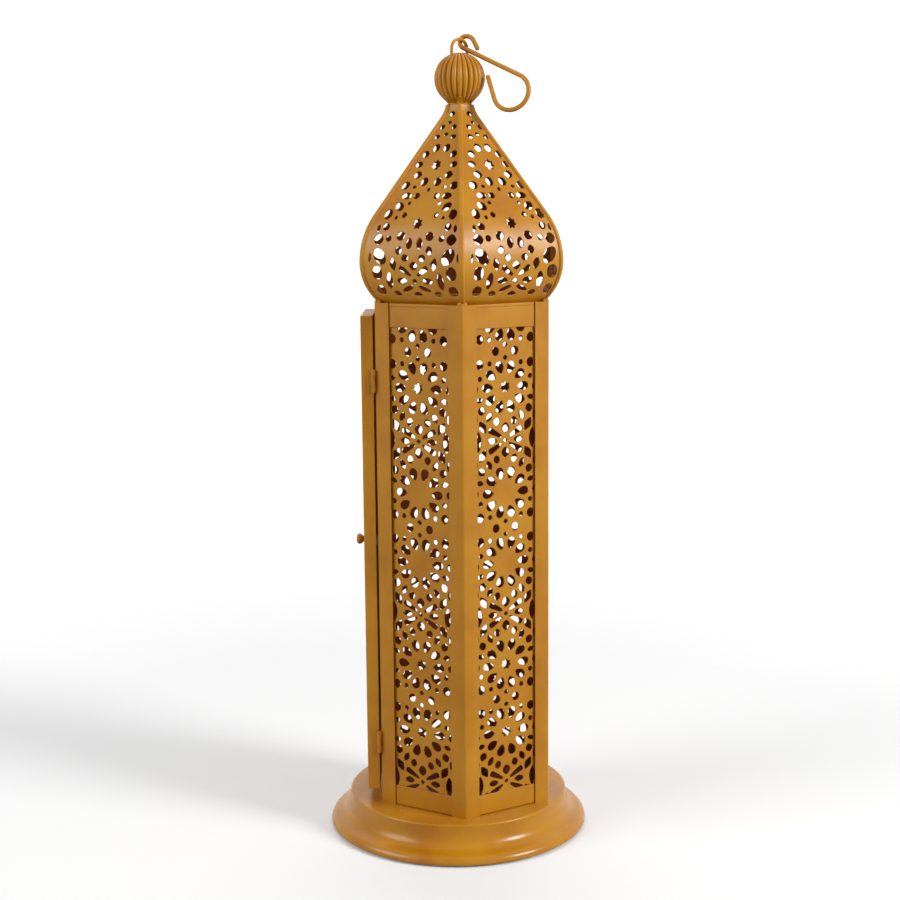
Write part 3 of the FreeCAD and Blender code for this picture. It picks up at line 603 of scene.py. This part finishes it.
def lantern_paint(name="ochre_paint", wave=1.0, matt=0.31):
    """Sprayed satin paint: a tone that clouds over 46 mm from deep to pale, specks of 0.9 mm taken
    12 percent towards the deep tone, and the slow waves of thin sheet, 0.5 mm times wave, under a
    faint orange-peel skin. Its roughness is matt plus 0.12 and 0.05 of two noises."""
    finish = Finish(name)
    cloud = finish.noise(46, 4, 0.55)
    tone = finish.ramp(cloud, [(0.3, OCHRE_DEEP), (0.52, OCHRE), (0.78, OCHRE_PALE)])
    grain = finish.ramp(finish.noise(0.9, 2, 0.5), [(0.28, grey(0)), (0.40, grey(1))])
    colour = finish.mix(1 - 0.12 * (1 - grain), OCHRE_DEEP, tone)
    base = finish.mix(0.35 + 0.3 * finish.noise(70, 2, 0.5), colour, tone)
    rough = matt + 0.12 * finish.noise(16, 3, 0.6) + 0.05 * finish.noise(1.6, 2, 0.5)
    slow = finish.bump(finish.noise(34, 1.5, 0.4), 0.5 * wave, 0.5)
    peel = finish.bump(finish.noise(1.3, 2, 0.5), 0.02, 0.35, slow)
    return finish.surface(Base_Color=base, Roughness=rough, Specular_IOR_Level=0.32, Normal=peel)


def paint_inside_shade():
    """Painted shade for the inside of the body: a clouded dark brown that stands in for the little
    light that gets in through the holes.
    """
    finish = Finish("inside_painted_shade")
    cloud = finish.noise(22, 3, 0.55)
    colour = finish.mix(cloud, INSIDE_SHADE_DEEP, INSIDE_SHADE_BROWN)
    return finish.surface(Base_Color=colour, Roughness=0.55 + 0.1 * cloud, Specular_IOR_Level=0.2)


def bare_steel():
    """Plain zinc-grey steel: tone, roughness and relief follow a noise drawn out upwards."""
    finish = Finish("zinc_steel")
    lines = finish.noise(3, 3, 0.6, (1, 1, 0.12))
    colour = finish.mix(lines, ZINC_DARK, ZINC)
    return finish.surface(Base_Color=colour, Roughness=0.28 + 0.2 * lines, Metallic=0.95,
                          Normal=finish.bump(lines, 0.02, 0.4))


PAINT = lantern_paint()
WIRE_PAINT = lantern_paint("ochre_paint_wire", 0.25)
FOOT_PAINT = lantern_paint("ochre_paint_foot", 0.5, 0.17)
INSIDE_SHADE_PAINT = paint_inside_shade()
STEEL = bare_steel()


# ---------------- foot and body

def bezier(start, first, second, end, count):
    """Points of a cubic curve between two ends with a handle at each: the four spots weighted by
    (1 - t)^3, 3 t (1 - t)^2, 3 t^2 (1 - t) and t^3."""
    t = np.linspace(0, 1, count)[:, None]
    start, first, second, end = (np.asarray(spot, float) for spot in (start, first, second, end))
    return ((1 - t) ** 3 * start + 3 * t * (1 - t) ** 2 * first
            + 3 * t ** 2 * (1 - t) * second + t ** 3 * end)


def make_foot():
    """Turned pressing: rolled top edge, hollow flare and rounded lip, with the sheet's inner face."""
    radius, top = high("base")[0], high("base")[2]
    rim, edge, lip = 85.0, 1.5, 6.2  # radius of the top, and of its rolled edge and the lip
    start = np.array([rim, top - edge])
    shoulder = arc((radius - lip, 2.2), lip, 72, 0, 18)
    outer = np.vstack([
        [(0.0, top), (rim * 0.5, top), (rim - 5, top), (rim - 2.6, top)],
        arc((rim - edge, top - edge), edge, 90, 0, 9),
        bezier(start, start - (0, 16), shoulder[0] - (4.6, -1.5), shoulder[0], 40)[1:-1],
        shoulder,
        [(radius - 0.3, 1.7), (radius - 1.2, 1.4), (radius - 4.4, 1.3), (radius - 4.6, 0.0)],
    ])
    inner = np.array([(radius - 5.4, 0.0), (radius - 5.6, 1.6), (radius - 6.4, 4.4), (90.6, 6.4),
                      (86.6, 9.4), (84.6, 14.0), (83.4, 21.5), (83.2, 24.6), (82.0, top - 1.2),
                      (0.0, top - 1.2)])
    rings = turned(np.vstack([outer, inner])[::-1], 0, 0, 0, 192)
    make("foot", *pole_skin(rings), FOOT_PAINT, ["base"], sharp=60)


def make_body_sheets():
    """Corner posts drawn up from a folded section with rounded folds, and the bands and the lid,
    sections carried round the six sides."""
    tip = CORNER
    end = np.array([tip - FLANGE / 2, FLANGE * COS30])
    inward = np.array([SHEET * COS30, SHEET / 2])
    fold = [(tip, 0), end, end - inward,
            (tip - SHEET / COS30, 0), (end - inward) * [1, -1], end * [1, -1]]
    section = rounded(fold, [1.6, 0.25, 0.25, 0.7, 0.25, 0.25], 5)
    for corner, angle in CORNERS.items():
        name = f"post_{corner}"
        make(f"folded_{name}", *upright(section, low(name)[2], high(name)[2], angle), PAINT, [name],
             sharp=50, inside_shaded=True)
    face, opening = APOTHEM - SHEET, 52.0 * COS30
    for name, clear_of_foot in (("bottom_band", 0.5), ("top_band", 0)):
        bottom, top = low(name)[2] + clear_of_foot, high(name)[2]
        ring = round_hexagon([(face, bottom), (face, top), (PANEL_FACE, top), (PANEL_FACE, bottom)])
        soften(make(f"soft_{name}", *ring, PAINT, [name], inside_shaded=True), 0.3)
    bottom, top = low("top_cap")[2], high("top_cap")[2]
    lid = round_hexagon([(face, bottom), (face, top), (opening, top), (opening, top - SHEET),
                         (face - SHEET, top - SHEET), (face - SHEET, bottom)])
    soften(make("soft_top_cap", *lid, PAINT, ["top_cap"]), 0.7, 4)


def make_panels():
    """The five fixed pierced sheets and the door's."""
    body_height = CAP_TOP - FLOOR
    for face, angle in FACES.items():
        flat_panel(f"panel_{face}", angle, PANEL_FACE, PANEL_HALF, 1.0, body_height - 1.0)
    lowest, highest = low("door_panel")[2] - FLOOR, high("door_panel")[2] - FLOOR
    half = (high("door_panel")[1] - low("door_panel")[1]) / 2
    face = AXIS_X - low("door_panel")[0]
    flat_panel("door_panel", DOOR_FACE, face, half, lowest, highest, "door")


def make_cup():
    """Turned cup for the candle, a wall with a rolled rim round an open bore."""
    profile = [(0, 0), (21.1, 0), (21.5, 0.4), (21.5, 13.4), (21.2, 13.9), (20.8, 13.9),
               (20.5, 13.4), (20.5, 2.2), (20.3, 1.4), (19.6, 1.0), (0, 1.0)]
    rings = turned(profile, AXIS_X, 0, low("candle_cup")[2], 96)
    # the whole cup gets the inside's painted shade
    make("turned_cup", *pole_skin(rings), INSIDE_SHADE_PAINT, ["candle_cup"], sharp=60)


# ---------------- door

def make_door():
    """Tray folded from one sheet: a section of border and shallow return, as (inset, depth) pairs,
    carried round the four corners. The knob is turned about a level axis."""
    border, clear_of_posts = 12.0, 0.5
    start, end = low("door_frame"), high("door_frame")
    out, back = AXIS_X - start[0], AXIS_X - end[0] + clear_of_posts
    half, bottom, top = end[1], start[2], end[2]
    ring = []
    section = [(0, out), (border, out), (border, out - SHEET),
               (SHEET, out - SHEET), (SHEET, back), (0, back)]
    for across, height in ((-1, 0), (1, 0), (1, 1), (-1, 1)):
        line = []
        for inset, depth in section:
            level = top - inset if height else bottom + inset
            line.append(face_point(DOOR_FACE, depth, across * (half - inset), level))
        ring.append(line)
    points, faces = skin(np.array(ring), closed=True)
    soften(make("folded_door_frame", points, faces, PAINT, ["door_frame"], "door"), 0.55, 4)

    start, end = low("door_knob"), high("door_knob")
    length, radius = end[0] - start[0], (end[1] - start[1]) / 2
    profile = [(0, 0), (3.3, 0), (3.3, 0.5), (2.4, 1.2), (1.9, 2.4), (2.1, 3.8), (3.2, 4.9),
               (4.0, 6.0), (radius, 7.2), (3.9, 8.4), (2.9, 9.2), (1.4, length), (0, length)]
    upright_rings = turned(profile, 0, 0, 0, 40)
    centre = (start + end) / 2
    rings = np.stack([end[0] - upright_rings[..., 2], centre[1] + upright_rings[..., 0],
                      centre[2] - upright_rings[..., 1]], -1)
    make("turned_knob", *pole_skin(rings), WIRE_PAINT, ["door_knob"], "door", 60)


def make_hinges():
    """Rolled knuckles, rings turned about the pin, and flat plates: a leaf that starts at root from
    the pin, and a tab from it to each knuckle. The post's knuckles are the outer two."""
    bore, edge, knuckle, chamfer, gap = 0.82, 1.38, 1.5, 0.12, 0.2
    tab, root = 0.9, 1.7
    plate_faces = {"post": (1.05, 1.85), "door": (0.7, 1.45)}  # from the pin
    for which in ("lower", "upper"):
        pin_low, pin_high = low(f"hinge_{which}_pin"), high(f"hinge_{which}_pin")
        x, y = (pin_low[:2] + pin_high[:2]) / 2
        leaf = {"post": f"hinge_{which}_post_leaf", "door": f"hinge_{which}_door_leaf"}
        bottom, top = low(leaf["post"])[2], high(leaf["post"])[2]
        third = (top - bottom) / 3
        knuckles = {"post": [(bottom, bottom + third - gap), (bottom + 2 * third + gap, top)],
                    "door": [(bottom + third + gap, bottom + 2 * third - gap)]}
        far = {"post": high(leaf["post"])[1], "door": low(leaf["door"])[0]}
        for side, spans in knuckles.items():
            parts = []
            for start, end in spans:
                profile = [(bore, start), (edge, start), (knuckle, start + chamfer),
                           (knuckle, end - chamfer), (edge, end), (bore, end)]
                rings = turned(profile, x, y, 0, 32)
                parts.append((rings.reshape(-1, 3), quads(len(profile), 32, wrap_rows=True)))
            inner, outer = plate_faces[side]
            if side == "post":
                plates = [(y + root, far[side], bottom, top)]
                plates += [(y + tab, y + root, *span) for span in spans]
                plates = [((x + inner, a), (x + outer, b), *span) for a, b, *span in plates]
            else:
                plates = [(far[side], x - root, bottom, top)]
                plates += [(x - root, x - tab, *span) for span in spans]
                plates = [((a, y + inner), (b, y + outer), *span) for a, b, *span in plates]
            for near, end, start, stop in plates:
                flat = [near, (end[0], near[1]), end, (near[0], end[1])]
                levels = [np.column_stack([flat, np.full(4, level)]) for level in (start, stop)]
                parts.append(skin(levels))
            body = "lantern" if side == "post" else "door"
            make(f"rolled_{leaf[side]}", *join(*parts), WIRE_PAINT, [leaf[side]], body)


# ---------------- dome

class DomeCurve:
    """Outline of a petal's middle: two convex arcs, a straight slope and a hollow neck arc."""

    def __init__(self):
        """Points from the lid up as (apothem, height), and the sheet's outward normal at each."""
        self.height = DOME_TOP - CAP_TOP
        belly, level, low_radius, up_radius = 72.9, 29.5, 39.5, 61.0
        neck_apothem, neck_radius, end = 9.0, 22.0, math.radians(10)
        neck = np.array([neck_apothem + neck_radius * math.cos(end),
                         self.height + neck_radius * math.sin(end)])
        between = neck - (belly - up_radius, level)
        lean = math.acos((up_radius + neck_radius) / math.hypot(*between))  # the slope touches both
        slope = math.degrees(math.atan2(between[1], between[0]) - lean)
        start = -math.degrees(math.asin(level / low_radius))
        self.points = np.vstack([
            arc((belly - low_radius, level), low_radius, start, 0, 40),
            arc((belly - up_radius, level), up_radius, 0, slope, 50)[1:],
            arc(neck, neck_radius, slope + 180, 190, 30)])
        self.outward = tangents(self.points)[:, ::-1] * [1, -1]

    def apothem(self, height):
        """Distance of the petal from the axis at a height."""
        return np.interp(height, self.points[:, 1], self.points[:, 0])

    def way_out(self, height):
        """Unit normal of the petal at a height, outwards and up."""
        out = np.stack([np.interp(height, self.points[:, 1], way) for way in self.outward.T], -1)
        return out / np.linalg.norm(out, axis=-1, keepdims=True)


DOME = DomeCurve()

# openings of a petal beside its middle line: sideways, up, width, height, turn, power
PETAL_SIDE = [
    (30.1, 9.8, 8.0, 7.6, 20, 2.2), (16.8, 7.6, 6.8, 4.7, 12, 1.6), (6.9, 11.2, 10.4, 3.7, -22, 2.4),
    (10.5, 16.9, 8.7, 5.2, 0, 1.9), (21.2, 16.9, 5.8, 12.8, 4, 1.9), (30.9, 22.6, 8.8, 10.4, 0, 2.2),
    (17.0, 29.0, 6.0, 10.2, -12, 1.3), (28.5, 34.4, 14.2, 9.6, 50, 1.9), (36.8, 33.5, 2.6, 7.0, 6, 1.8),
    (7.1, 33.5, 6.2, 5.6, 0, 1.9), (12.7, 38.9, 5.8, 6.8, 14, 1.7), (4.3, 43.9, 5.6, 8.6, 0, 1.8),
    (11.9, 49.0, 7.6, 6.8, -28, 1.8), (22.0, 47.3, 5.1, 5.1), (30.3, 46.6, 8.8, 8.4, 0, 1.6),
    (25.7, 55.6, 6.3, 6.0, 0, 1.8), (31.9, 54.4, 3.2, 5.6, 10, 1.8), (26.9, 64.4, 7.0, 8.0, 24, 1.8),
    (19.6, 62.0, 3.2, 3.2), (13.2, 63.8, 4.9, 4.6, 0, 1.5), (19.7, 69.9, 8.2, 6.2, 26),
    (12.5, 72.2, 3.2, 3.0), (16.7, 77.4, 8.6, 5.2), (8.2, 77.4, 5.3, 4.9),
    (20.2, 84.8, 7.6, 6.2, -20, 1.8), (12.6, 83.8, 3.5, 2.7), (5.5, 87.4, 6.4, 6.8, 14),
    (12.9, 92.4, 7.4, 6.2, 0, 1.5), (14.6, 99.9, 6.6, 5.0, 0, 1.9), (11.6, 107.3, 6.0, 5.6),
    (4.3, 111.8, 6.0, 6.4, 18), (6.8, 120.0, 5.0, 3.7, 0, 1.9), (4.9, 127.1, 4.4, 4.2, 0, 1.9),
]
PETAL_WEDGES = [(2.4, 20.6, 11.8, 27.2, 2.6, 5.2)]
PETAL_MIDDLE = [
    (0, 7.2, 7.4, 4.0, 0, 1.7), (0, 16.8, 4.6, 4.3, 0, 1.3), (0, 27.8, 7.0, 6.8, 0, 1.5),
    (0, 81.8, 3.2, 3.2), (0, 121.8, 4.2, 3.0, 0, 1.9), (0, 130.4, 3.5, 2.9),
    (0, 136.8, 5.2, 4.4, 0, 1.6),
]
PETAL_STARS = [(57.8, 4.4), (99.4, 4.3)]  # height, radius
# each petal's pattern sits a little off its middle, less so from a height on
SHIFT_FADES, SHIFT_FADE = 75, 0.03
PETAL_BORDER = 0.8
NARROWEST_HOLE = 1.2
PETAL_SHIFT = {240: 1.9, 300: 3.4, 0: 1.0, 60: -2.6, 120: 4.2, 180: -1.6}


def petal_edge(height):
    """Half width of a petal: up to the side of the seam rib."""
    return DOME.apothem(height) * TAN30 - RIB_WIDTH / 2 / COS30


def petal_holes(shift):
    """The openings of one petal, its pattern set off sideways but less so towards the neck."""
    holes = [oval(*hole) for hole in PETAL_MIDDLE]
    holes += mirrored([oval(*hole) for hole in PETAL_SIDE])
    holes += mirrored([wedge(*hole) for hole in PETAL_WEDGES])
    holes += [star(0, height, radius) for height, radius in PETAL_STARS]
    fitting = []
    for hole in holes:
        height = hole[:, 1].mean()
        across = hole[:, 0] + shift - SHIFT_FADE * max(height - SHIFT_FADES, 0)
        limit = petal_edge(hole[:, 1]) - PETAL_BORDER
        across = np.clip(across, -limit, limit)
        if np.ptp(across) > NARROWEST_HOLE:
            fitting.append(np.stack([across, hole[:, 1]], -1))
    return fitting


def make_petals():
    """Six pierced sheets, each flat across and bent along the dome's outline: a point is at the
    outline's apothem less depth times its outward normal."""
    heights = np.linspace(0, DOME.height, 90)
    edge = petal_edge(heights)
    outline = np.vstack([np.stack([edge, heights], -1), np.stack([-edge, heights], -1)[::-1]])
    levels = heights[1:-1] + 0.013  # clear of the outline's own points

    for face, angle in {**FACES, "left": DOOR_FACE}.items():
        def lift(flat, depth):
            """Flat height and sideways to the bent sheet, depth measured along its normal."""
            out = DOME.way_out(flat[:, 1])
            apothem = DOME.apothem(flat[:, 1]) - depth * out[:, 0]
            height = CAP_TOP + np.maximum(flat[:, 1] - depth * out[:, 1], 0.0)
            return face_point(angle, apothem, flat[:, 0], height)

        parts = pierced(outline, petal_holes(PETAL_SHIFT[angle]), levels, lift)
        make(f"pierced_petal_{face}", *parts, PAINT, [f"dome_petal_{face}"],
             sharp=42, inside_shaded=True)


def bar(back, front, nose):
    """Outline as wide as a rib, its front corners rounded to the radius nose."""
    half = RIB_WIDTH / 2
    return rounded([(back, -half), (front, -half), (front, half), (back, half)],
                   [0.1, nose, nose, 0.1])


def make_ribs():
    """Rounded bar carried up each seam at the outline's apothem / cos 30 degrees from the axis, its
    foot pressed flat on the lid between two lobes."""
    section = bar(RIB_PROUD - RIB_DEPTH, RIB_PROUD, 1.15)
    spine = DOME.points[::2]  # an odd number of points, so both ends stay
    heel = DOME.points[0, 0] / COS30 + RIB_PROUD
    toe = bar(heel - 1.5, heel + 3.6, 1.3)
    lobe = [(0, 0), (1.7, 0), (1.95, 0.6), (1.75, 1.4), (1.1, 2.1), (0, 2.4)]
    for corner, angle in CORNERS.items():
        rings = face_point(angle, spine[:, :1] / COS30 + section[:, 0], section[:, 1],
                           CAP_TOP + spine[:, 1:])
        parts = [skin(rings), upright(toe, CAP_TOP, CAP_TOP + SHEET, angle)]
        for side in (-1, 1):
            x, y, z = face_point(angle, heel + 0.6, 1.7 * side, CAP_TOP - 0.05)
            parts.append(pole_skin(turned(lobe, x, y, z, 20)))
        if corner == "front":
            parts.append(front_tab(angle))
        make(f"seam_rib_{corner}", *join(*parts), PAINT, [f"dome_rib_{corner}"], sharp=50)


def front_tab(angle):
    """Tongue of the front rib, bent out along the underside of the ball and rounded at its tip: a
    flat bar along a path of (radius, height) above the dome, as wide as each spot says."""
    thickness = 0.9
    path = np.array([(9.9, 0.0), (9.9, 1.3), (10.6, 2.3), (11.9, 3.6), (13.3, 5.0), (14.0, 5.7)])
    width = np.array([3.5, 3.9, 4.3, 4.4, 3.6, 1.6]) / 2
    outer = path + tangents(path)[:, ::-1] * [thickness, -thickness]
    ring = [(path, -width), (outer, -width), (outer, width), (path, width)]
    corners = [face_point(angle, line[:, 0], half, DOME_TOP + line[:, 1]) for line, half in ring]
    return skin(np.stack(corners, axis=1))


# ---------------- finial, staple and hook

def make_ball():
    """Ball pressed with upright ribs: its radius is the outline's less depth (1 - swell), the swell
    |sin(ribs t / 2)|^roundness, and the ball stands on a cone of 45 degrees over its flat foot."""
    roundness, share = 0.6, 0.3  # near the axis a groove is this share of the radius deep
    bottom, top = low("finial_ball")[2], high("finial_ball")[2]
    touch = math.radians(-45)
    centre = BALL_RADIUS * math.cos(touch) - BALL_FOOT - BALL_RADIUS * math.sin(touch)
    last = math.degrees(math.acos(BALL_TOP / BALL_RADIUS))
    outline = np.vstack([[(0, 0.0), (BALL_FOOT - 1.5, 0.0), (BALL_FOOT, 0.0)],
                         arc((0, centre), BALL_RADIUS, -45, last, 56), [(0.0, top - bottom)]])
    turn = np.linspace(0, 2 * math.pi, BALL_RIBS * 12, endpoint=False)
    swell = np.abs(np.sin(turn * BALL_RIBS / 2)) ** roundness
    depth = np.minimum(BALL_GROOVE, outline[:, :1] * share)
    radius = outline[:, :1] - depth * (1 - swell)
    rings = np.stack([AXIS_X + radius * np.cos(turn), radius * np.sin(turn),
                      bottom + outline[:, 1:] + 0 * turn], -1)
    make("ribbed_ball", *pole_skin(rings), PAINT, ["finial_ball"], sharp=75)

    collar = [(0, 0), (8.6, 0), (9.1, 0.3), (9.2, 0.75), (9.1, 1.2), (8.6, 1.5), (0, 1.5)]
    make("turned_neck_plate", *pole_skin(turned(collar, AXIS_X, 0, DOME_TOP, 64)), PAINT,
         ["neck_plate"], sharp=60)


def staple_frame():
    """Centre of the staple's arch and the level direction across it."""
    turn = math.radians(STAPLE_TURN)
    across = np.array([math.sin(turn), math.cos(turn), 0])
    return np.array([AXIS_X, 0, high("finial_ball")[2] + STAPLE_LEG]), across


def make_staple():
    """Half circle of wire, its straight legs sunk in the ball as deep as they show above it."""
    centre, across = staple_frame()
    legs = np.array([(STAPLE_RADIUS, -STAPLE_LEG), (STAPLE_RADIUS, -2 * STAPLE_LEG)])
    arch = np.vstack([(legs * [-1, 1])[::-1], arc((0, 0), STAPLE_RADIUS, 180, 0, 40), legs])
    path = centre + arch[:, :1] * across + arch[:, 1:] * UP
    make("wire_staple", *tube(path, STAPLE_WIRE), WIRE_PAINT, ["hanging_staple"], sharp=60)


def make_hook():
    """One plane curve, leaning back and drooping to the ball's side: short end, wide arc, eye round
    the staple, straight arm, round hook and straight tip; straight parts join the arcs' ends."""
    centre, across = staple_frame()
    slip, turn, lean, droop = np.radians([43.0, 22.0, 14.0, 25.6])
    spot = centre + STAPLE_RADIUS * (across * math.sin(slip) + UP * math.cos(slip))
    right = np.array([math.cos(turn), -math.sin(turn), 0])
    back = np.array([math.sin(turn), math.cos(turn), 0])
    up = UP * math.cos(lean) + back * math.sin(lean)
    along = right * math.cos(droop) - up * math.sin(droop)
    above = right * math.sin(droop) + up * math.cos(droop)

    eye, wide, loop = 4.5, 7.0, 13.5  # radii of the three arcs, and below their degrees
    wide_from, wide_to, eye_to, loop_from, loop_to = 56, 120, 270, 90, -133.4
    short_end, arm, tip = 7.0, 51.9, 17.5  # lengths of the straight parts
    slack = 0.8  # the eye hangs this far right of the staple's wire
    wide_centre = (eye - wide) * heading(wide_to)
    curl = np.vstack([arc(wide_centre, wide, wide_from, wide_to, 20)[:-1],
                      arc((0, 0), eye, wide_to, eye_to, 28)])
    bend = arc((arm, -loop - eye), loop, loop_from, loop_to, 60)
    tail = curl[0] + short_end * heading(wide_from - 90)
    point = bend[-1] + tip * heading(loop_to - 90)
    share = np.linspace(0, 1, 12)[1:-1, None]
    lead, straight, end = (first * (1 - share) + second * share for first, second in
                           ((tail, curl[0]), (curl[-1], bend[0]), (bend[-1], point)))
    flat = np.vstack([tail[None], lead, curl, straight, bend, end, point[None]])
    path = spot + slack * right + flat[:, :1] * along + flat[:, 1:] * above
    make("wire_hook", *tube(path, HOOK_WIRE), WIRE_PAINT, ["hook"], "hook", 60)


# ---------------- camera, floor and light

def make_camera():
    """The photograph's camera, fitted to the six-sided body and the round foot: swung about the
    axis, turned by the yaw, tipped down by the pitch and rolled about its own view."""
    distance, height = 1213.13, 467.76
    swing, yaw, pitch, roll = np.radians([-0.4468, 0.4492, 9.3062, -0.5046])
    facing = swing + yaw
    place = Vector((AXIS_X + math.sin(swing) * distance, -math.cos(swing) * distance,
                    FLOOR + height))
    ahead = Vector((-math.sin(facing) * math.cos(pitch), math.cos(facing) * math.cos(pitch),
                    -math.sin(pitch)))
    level = Vector((math.cos(facing), math.sin(facing), 0))
    over = level.cross(ahead)
    right = level * math.cos(roll) + over * math.sin(roll)
    up = over * math.cos(roll) - level * math.sin(roll)
    camera = add("camera", bpy.data.cameras.new("camera"))
    camera.data.lens = 63.96
    camera.data.sensor_width = 36
    camera.data.clip_end = 60
    turned_axes = Matrix((right, up, -ahead)).transposed().to_4x4()
    camera.matrix_world = Matrix.Translation(place * MM) @ turned_axes
    bpy.context.scene.camera = camera


# floor and lamps, in metres
FLOOR_RUN = [(-9.0, 0.0), (3.2, 0.0), (3.9, 0.08), (4.4, 0.35), (4.7, 0.85), (4.8, 1.6), (4.8, 8.0)]
# no glow under the foot's lip: painted contact shade over the real shadow
FLOOR_GLOW = [(0.0995, 0.0), (0.103, 0.22), (0.48, 0.24), (2.28, 0.95)]  # distance, brightness
GLOW_END = 2.4
LAMP_AIM = (0, 0, 0.3)
SIDE_LAMPS = [("right_lamp", 62, 0.9, 69), ("left_lamp", -66, 1.7, 43)]  # degrees, width, watts
SIDE_LAMP_AWAY, SIDE_LAMP_HEIGHT = 2.5, 1.45


def make_floor():
    """Plain pale floor, level and then risen to a backdrop. The lens sees it nearly white with its
    shadow kept: diffuse paint plus a glow that grows with distance. Under the foot's lip there is no
    glow, which adds painted contact shade to the real shadow there."""
    depth, rise = np.array(FLOOR_RUN).T
    side = np.array([-9.0, 9.0])
    points = np.stack([np.broadcast_to(side, (len(depth), 2)), np.repeat(depth[:, None], 2, 1),
                       np.repeat(rise[:, None], 2, 1)], -1).reshape(-1, 3)
    mesh = bpy.data.meshes.new("floor")
    mesh.from_pydata(points, [], quads(len(depth), 2, wrap_columns=False))
    mesh.polygons.foreach_set("use_smooth", np.ones(len(mesh.polygons), bool))
    finish = Finish("floor_white")
    where = finish.node("ShaderNodeTexCoord", output="Object")
    reach = finish.node("ShaderNodeVectorMath", {"operation": "LENGTH"}, {0: where}, output="Value")
    away = finish.node("ShaderNodeMapRange", inputs={"Value": reach, "From Min": 0.0,
                                                     "From Max": GLOW_END})
    stops = [(distance / GLOW_END, grey(value)) for distance, value in FLOOR_GLOW]
    glow = finish.node("ShaderNodeEmission", inputs={"Color": finish.ramp(away, stops)})
    bright = finish.node("ShaderNodeBsdfDiffuse", inputs={"Color": grey(0.70)})
    plain = finish.node("ShaderNodeBsdfDiffuse", inputs={"Color": grey(0.42)})
    lifted = finish.node("ShaderNodeAddShader", inputs={0: bright, 1: glow})
    both = finish.node("ShaderNodeMixShader", inputs={0: finish.seen(), 1: plain, 2: lifted})
    finish.node("ShaderNodeOutputMaterial", inputs={"Surface": both})
    mesh.materials.append(finish.material)
    add("floor", mesh)


def make_lamp(name, place, size, power):
    """A round soft lamp turned to look at the body."""
    lamp = add(name, bpy.data.lights.new(name, "AREA"))
    lamp.data.shape = "DISK"
    lamp.data.size = size
    lamp.data.energy = power
    lamp.location = place
    lamp.rotation_euler = (Vector(LAMP_AIM) - Vector(place)).to_track_quat("-Z", "Y").to_euler()


def make_light():
    """Two large soft lamps beside the front, a weaker one above, and a sky that the lens sees
    white and that lights the scene dimly and evenly."""
    sky = Finish("studio", "worlds")
    dim = sky.node("ShaderNodeBackground", inputs={"Color": grey(0.2)})
    white = sky.node("ShaderNodeBackground", inputs={"Color": grey(1)})
    both = sky.node("ShaderNodeMixShader", inputs={0: sky.seen(), 1: dim, 2: white})
    sky.node("ShaderNodeOutputWorld", inputs={"Surface": both})
    bpy.context.scene.world = sky.material
    for name, azimuth, size, power in SIDE_LAMPS:
        x, y = SIDE_LAMP_AWAY * heading(azimuth - 90)
        make_lamp(name, (x, y, SIDE_LAMP_HEIGHT), size, power)
    make_lamp("top_lamp", (0.0, 0.9, 2.3), 1.3, 17)
    bpy.context.scene.view_settings.view_transform = "Standard"


def dress_kept_nodes():
    """The CAD solids that stay get the finish of their slot, except the floor plate inside, which gets
    the inside's painted shade.
    """
    finishes = {"lantern_paint": PAINT, "plain_steel": STEEL}
    slots = {part["node"]: part["material_slot"] for part in frame["record"]["subparts"]}
    for name, node in frame["nodes"].items():
        node.data.materials.clear()
        node.data.materials.append(INSIDE_SHADE_PAINT if name == "floor_plate" else finishes[slots[name]])


dress_kept_nodes()
make_foot()
make_body_sheets()
make_panels()
make_cup()
make_door()
make_hinges()
make_petals()
make_ribs()
make_ball()
make_staple()
make_hook()
make_camera()
make_floor()
make_light()
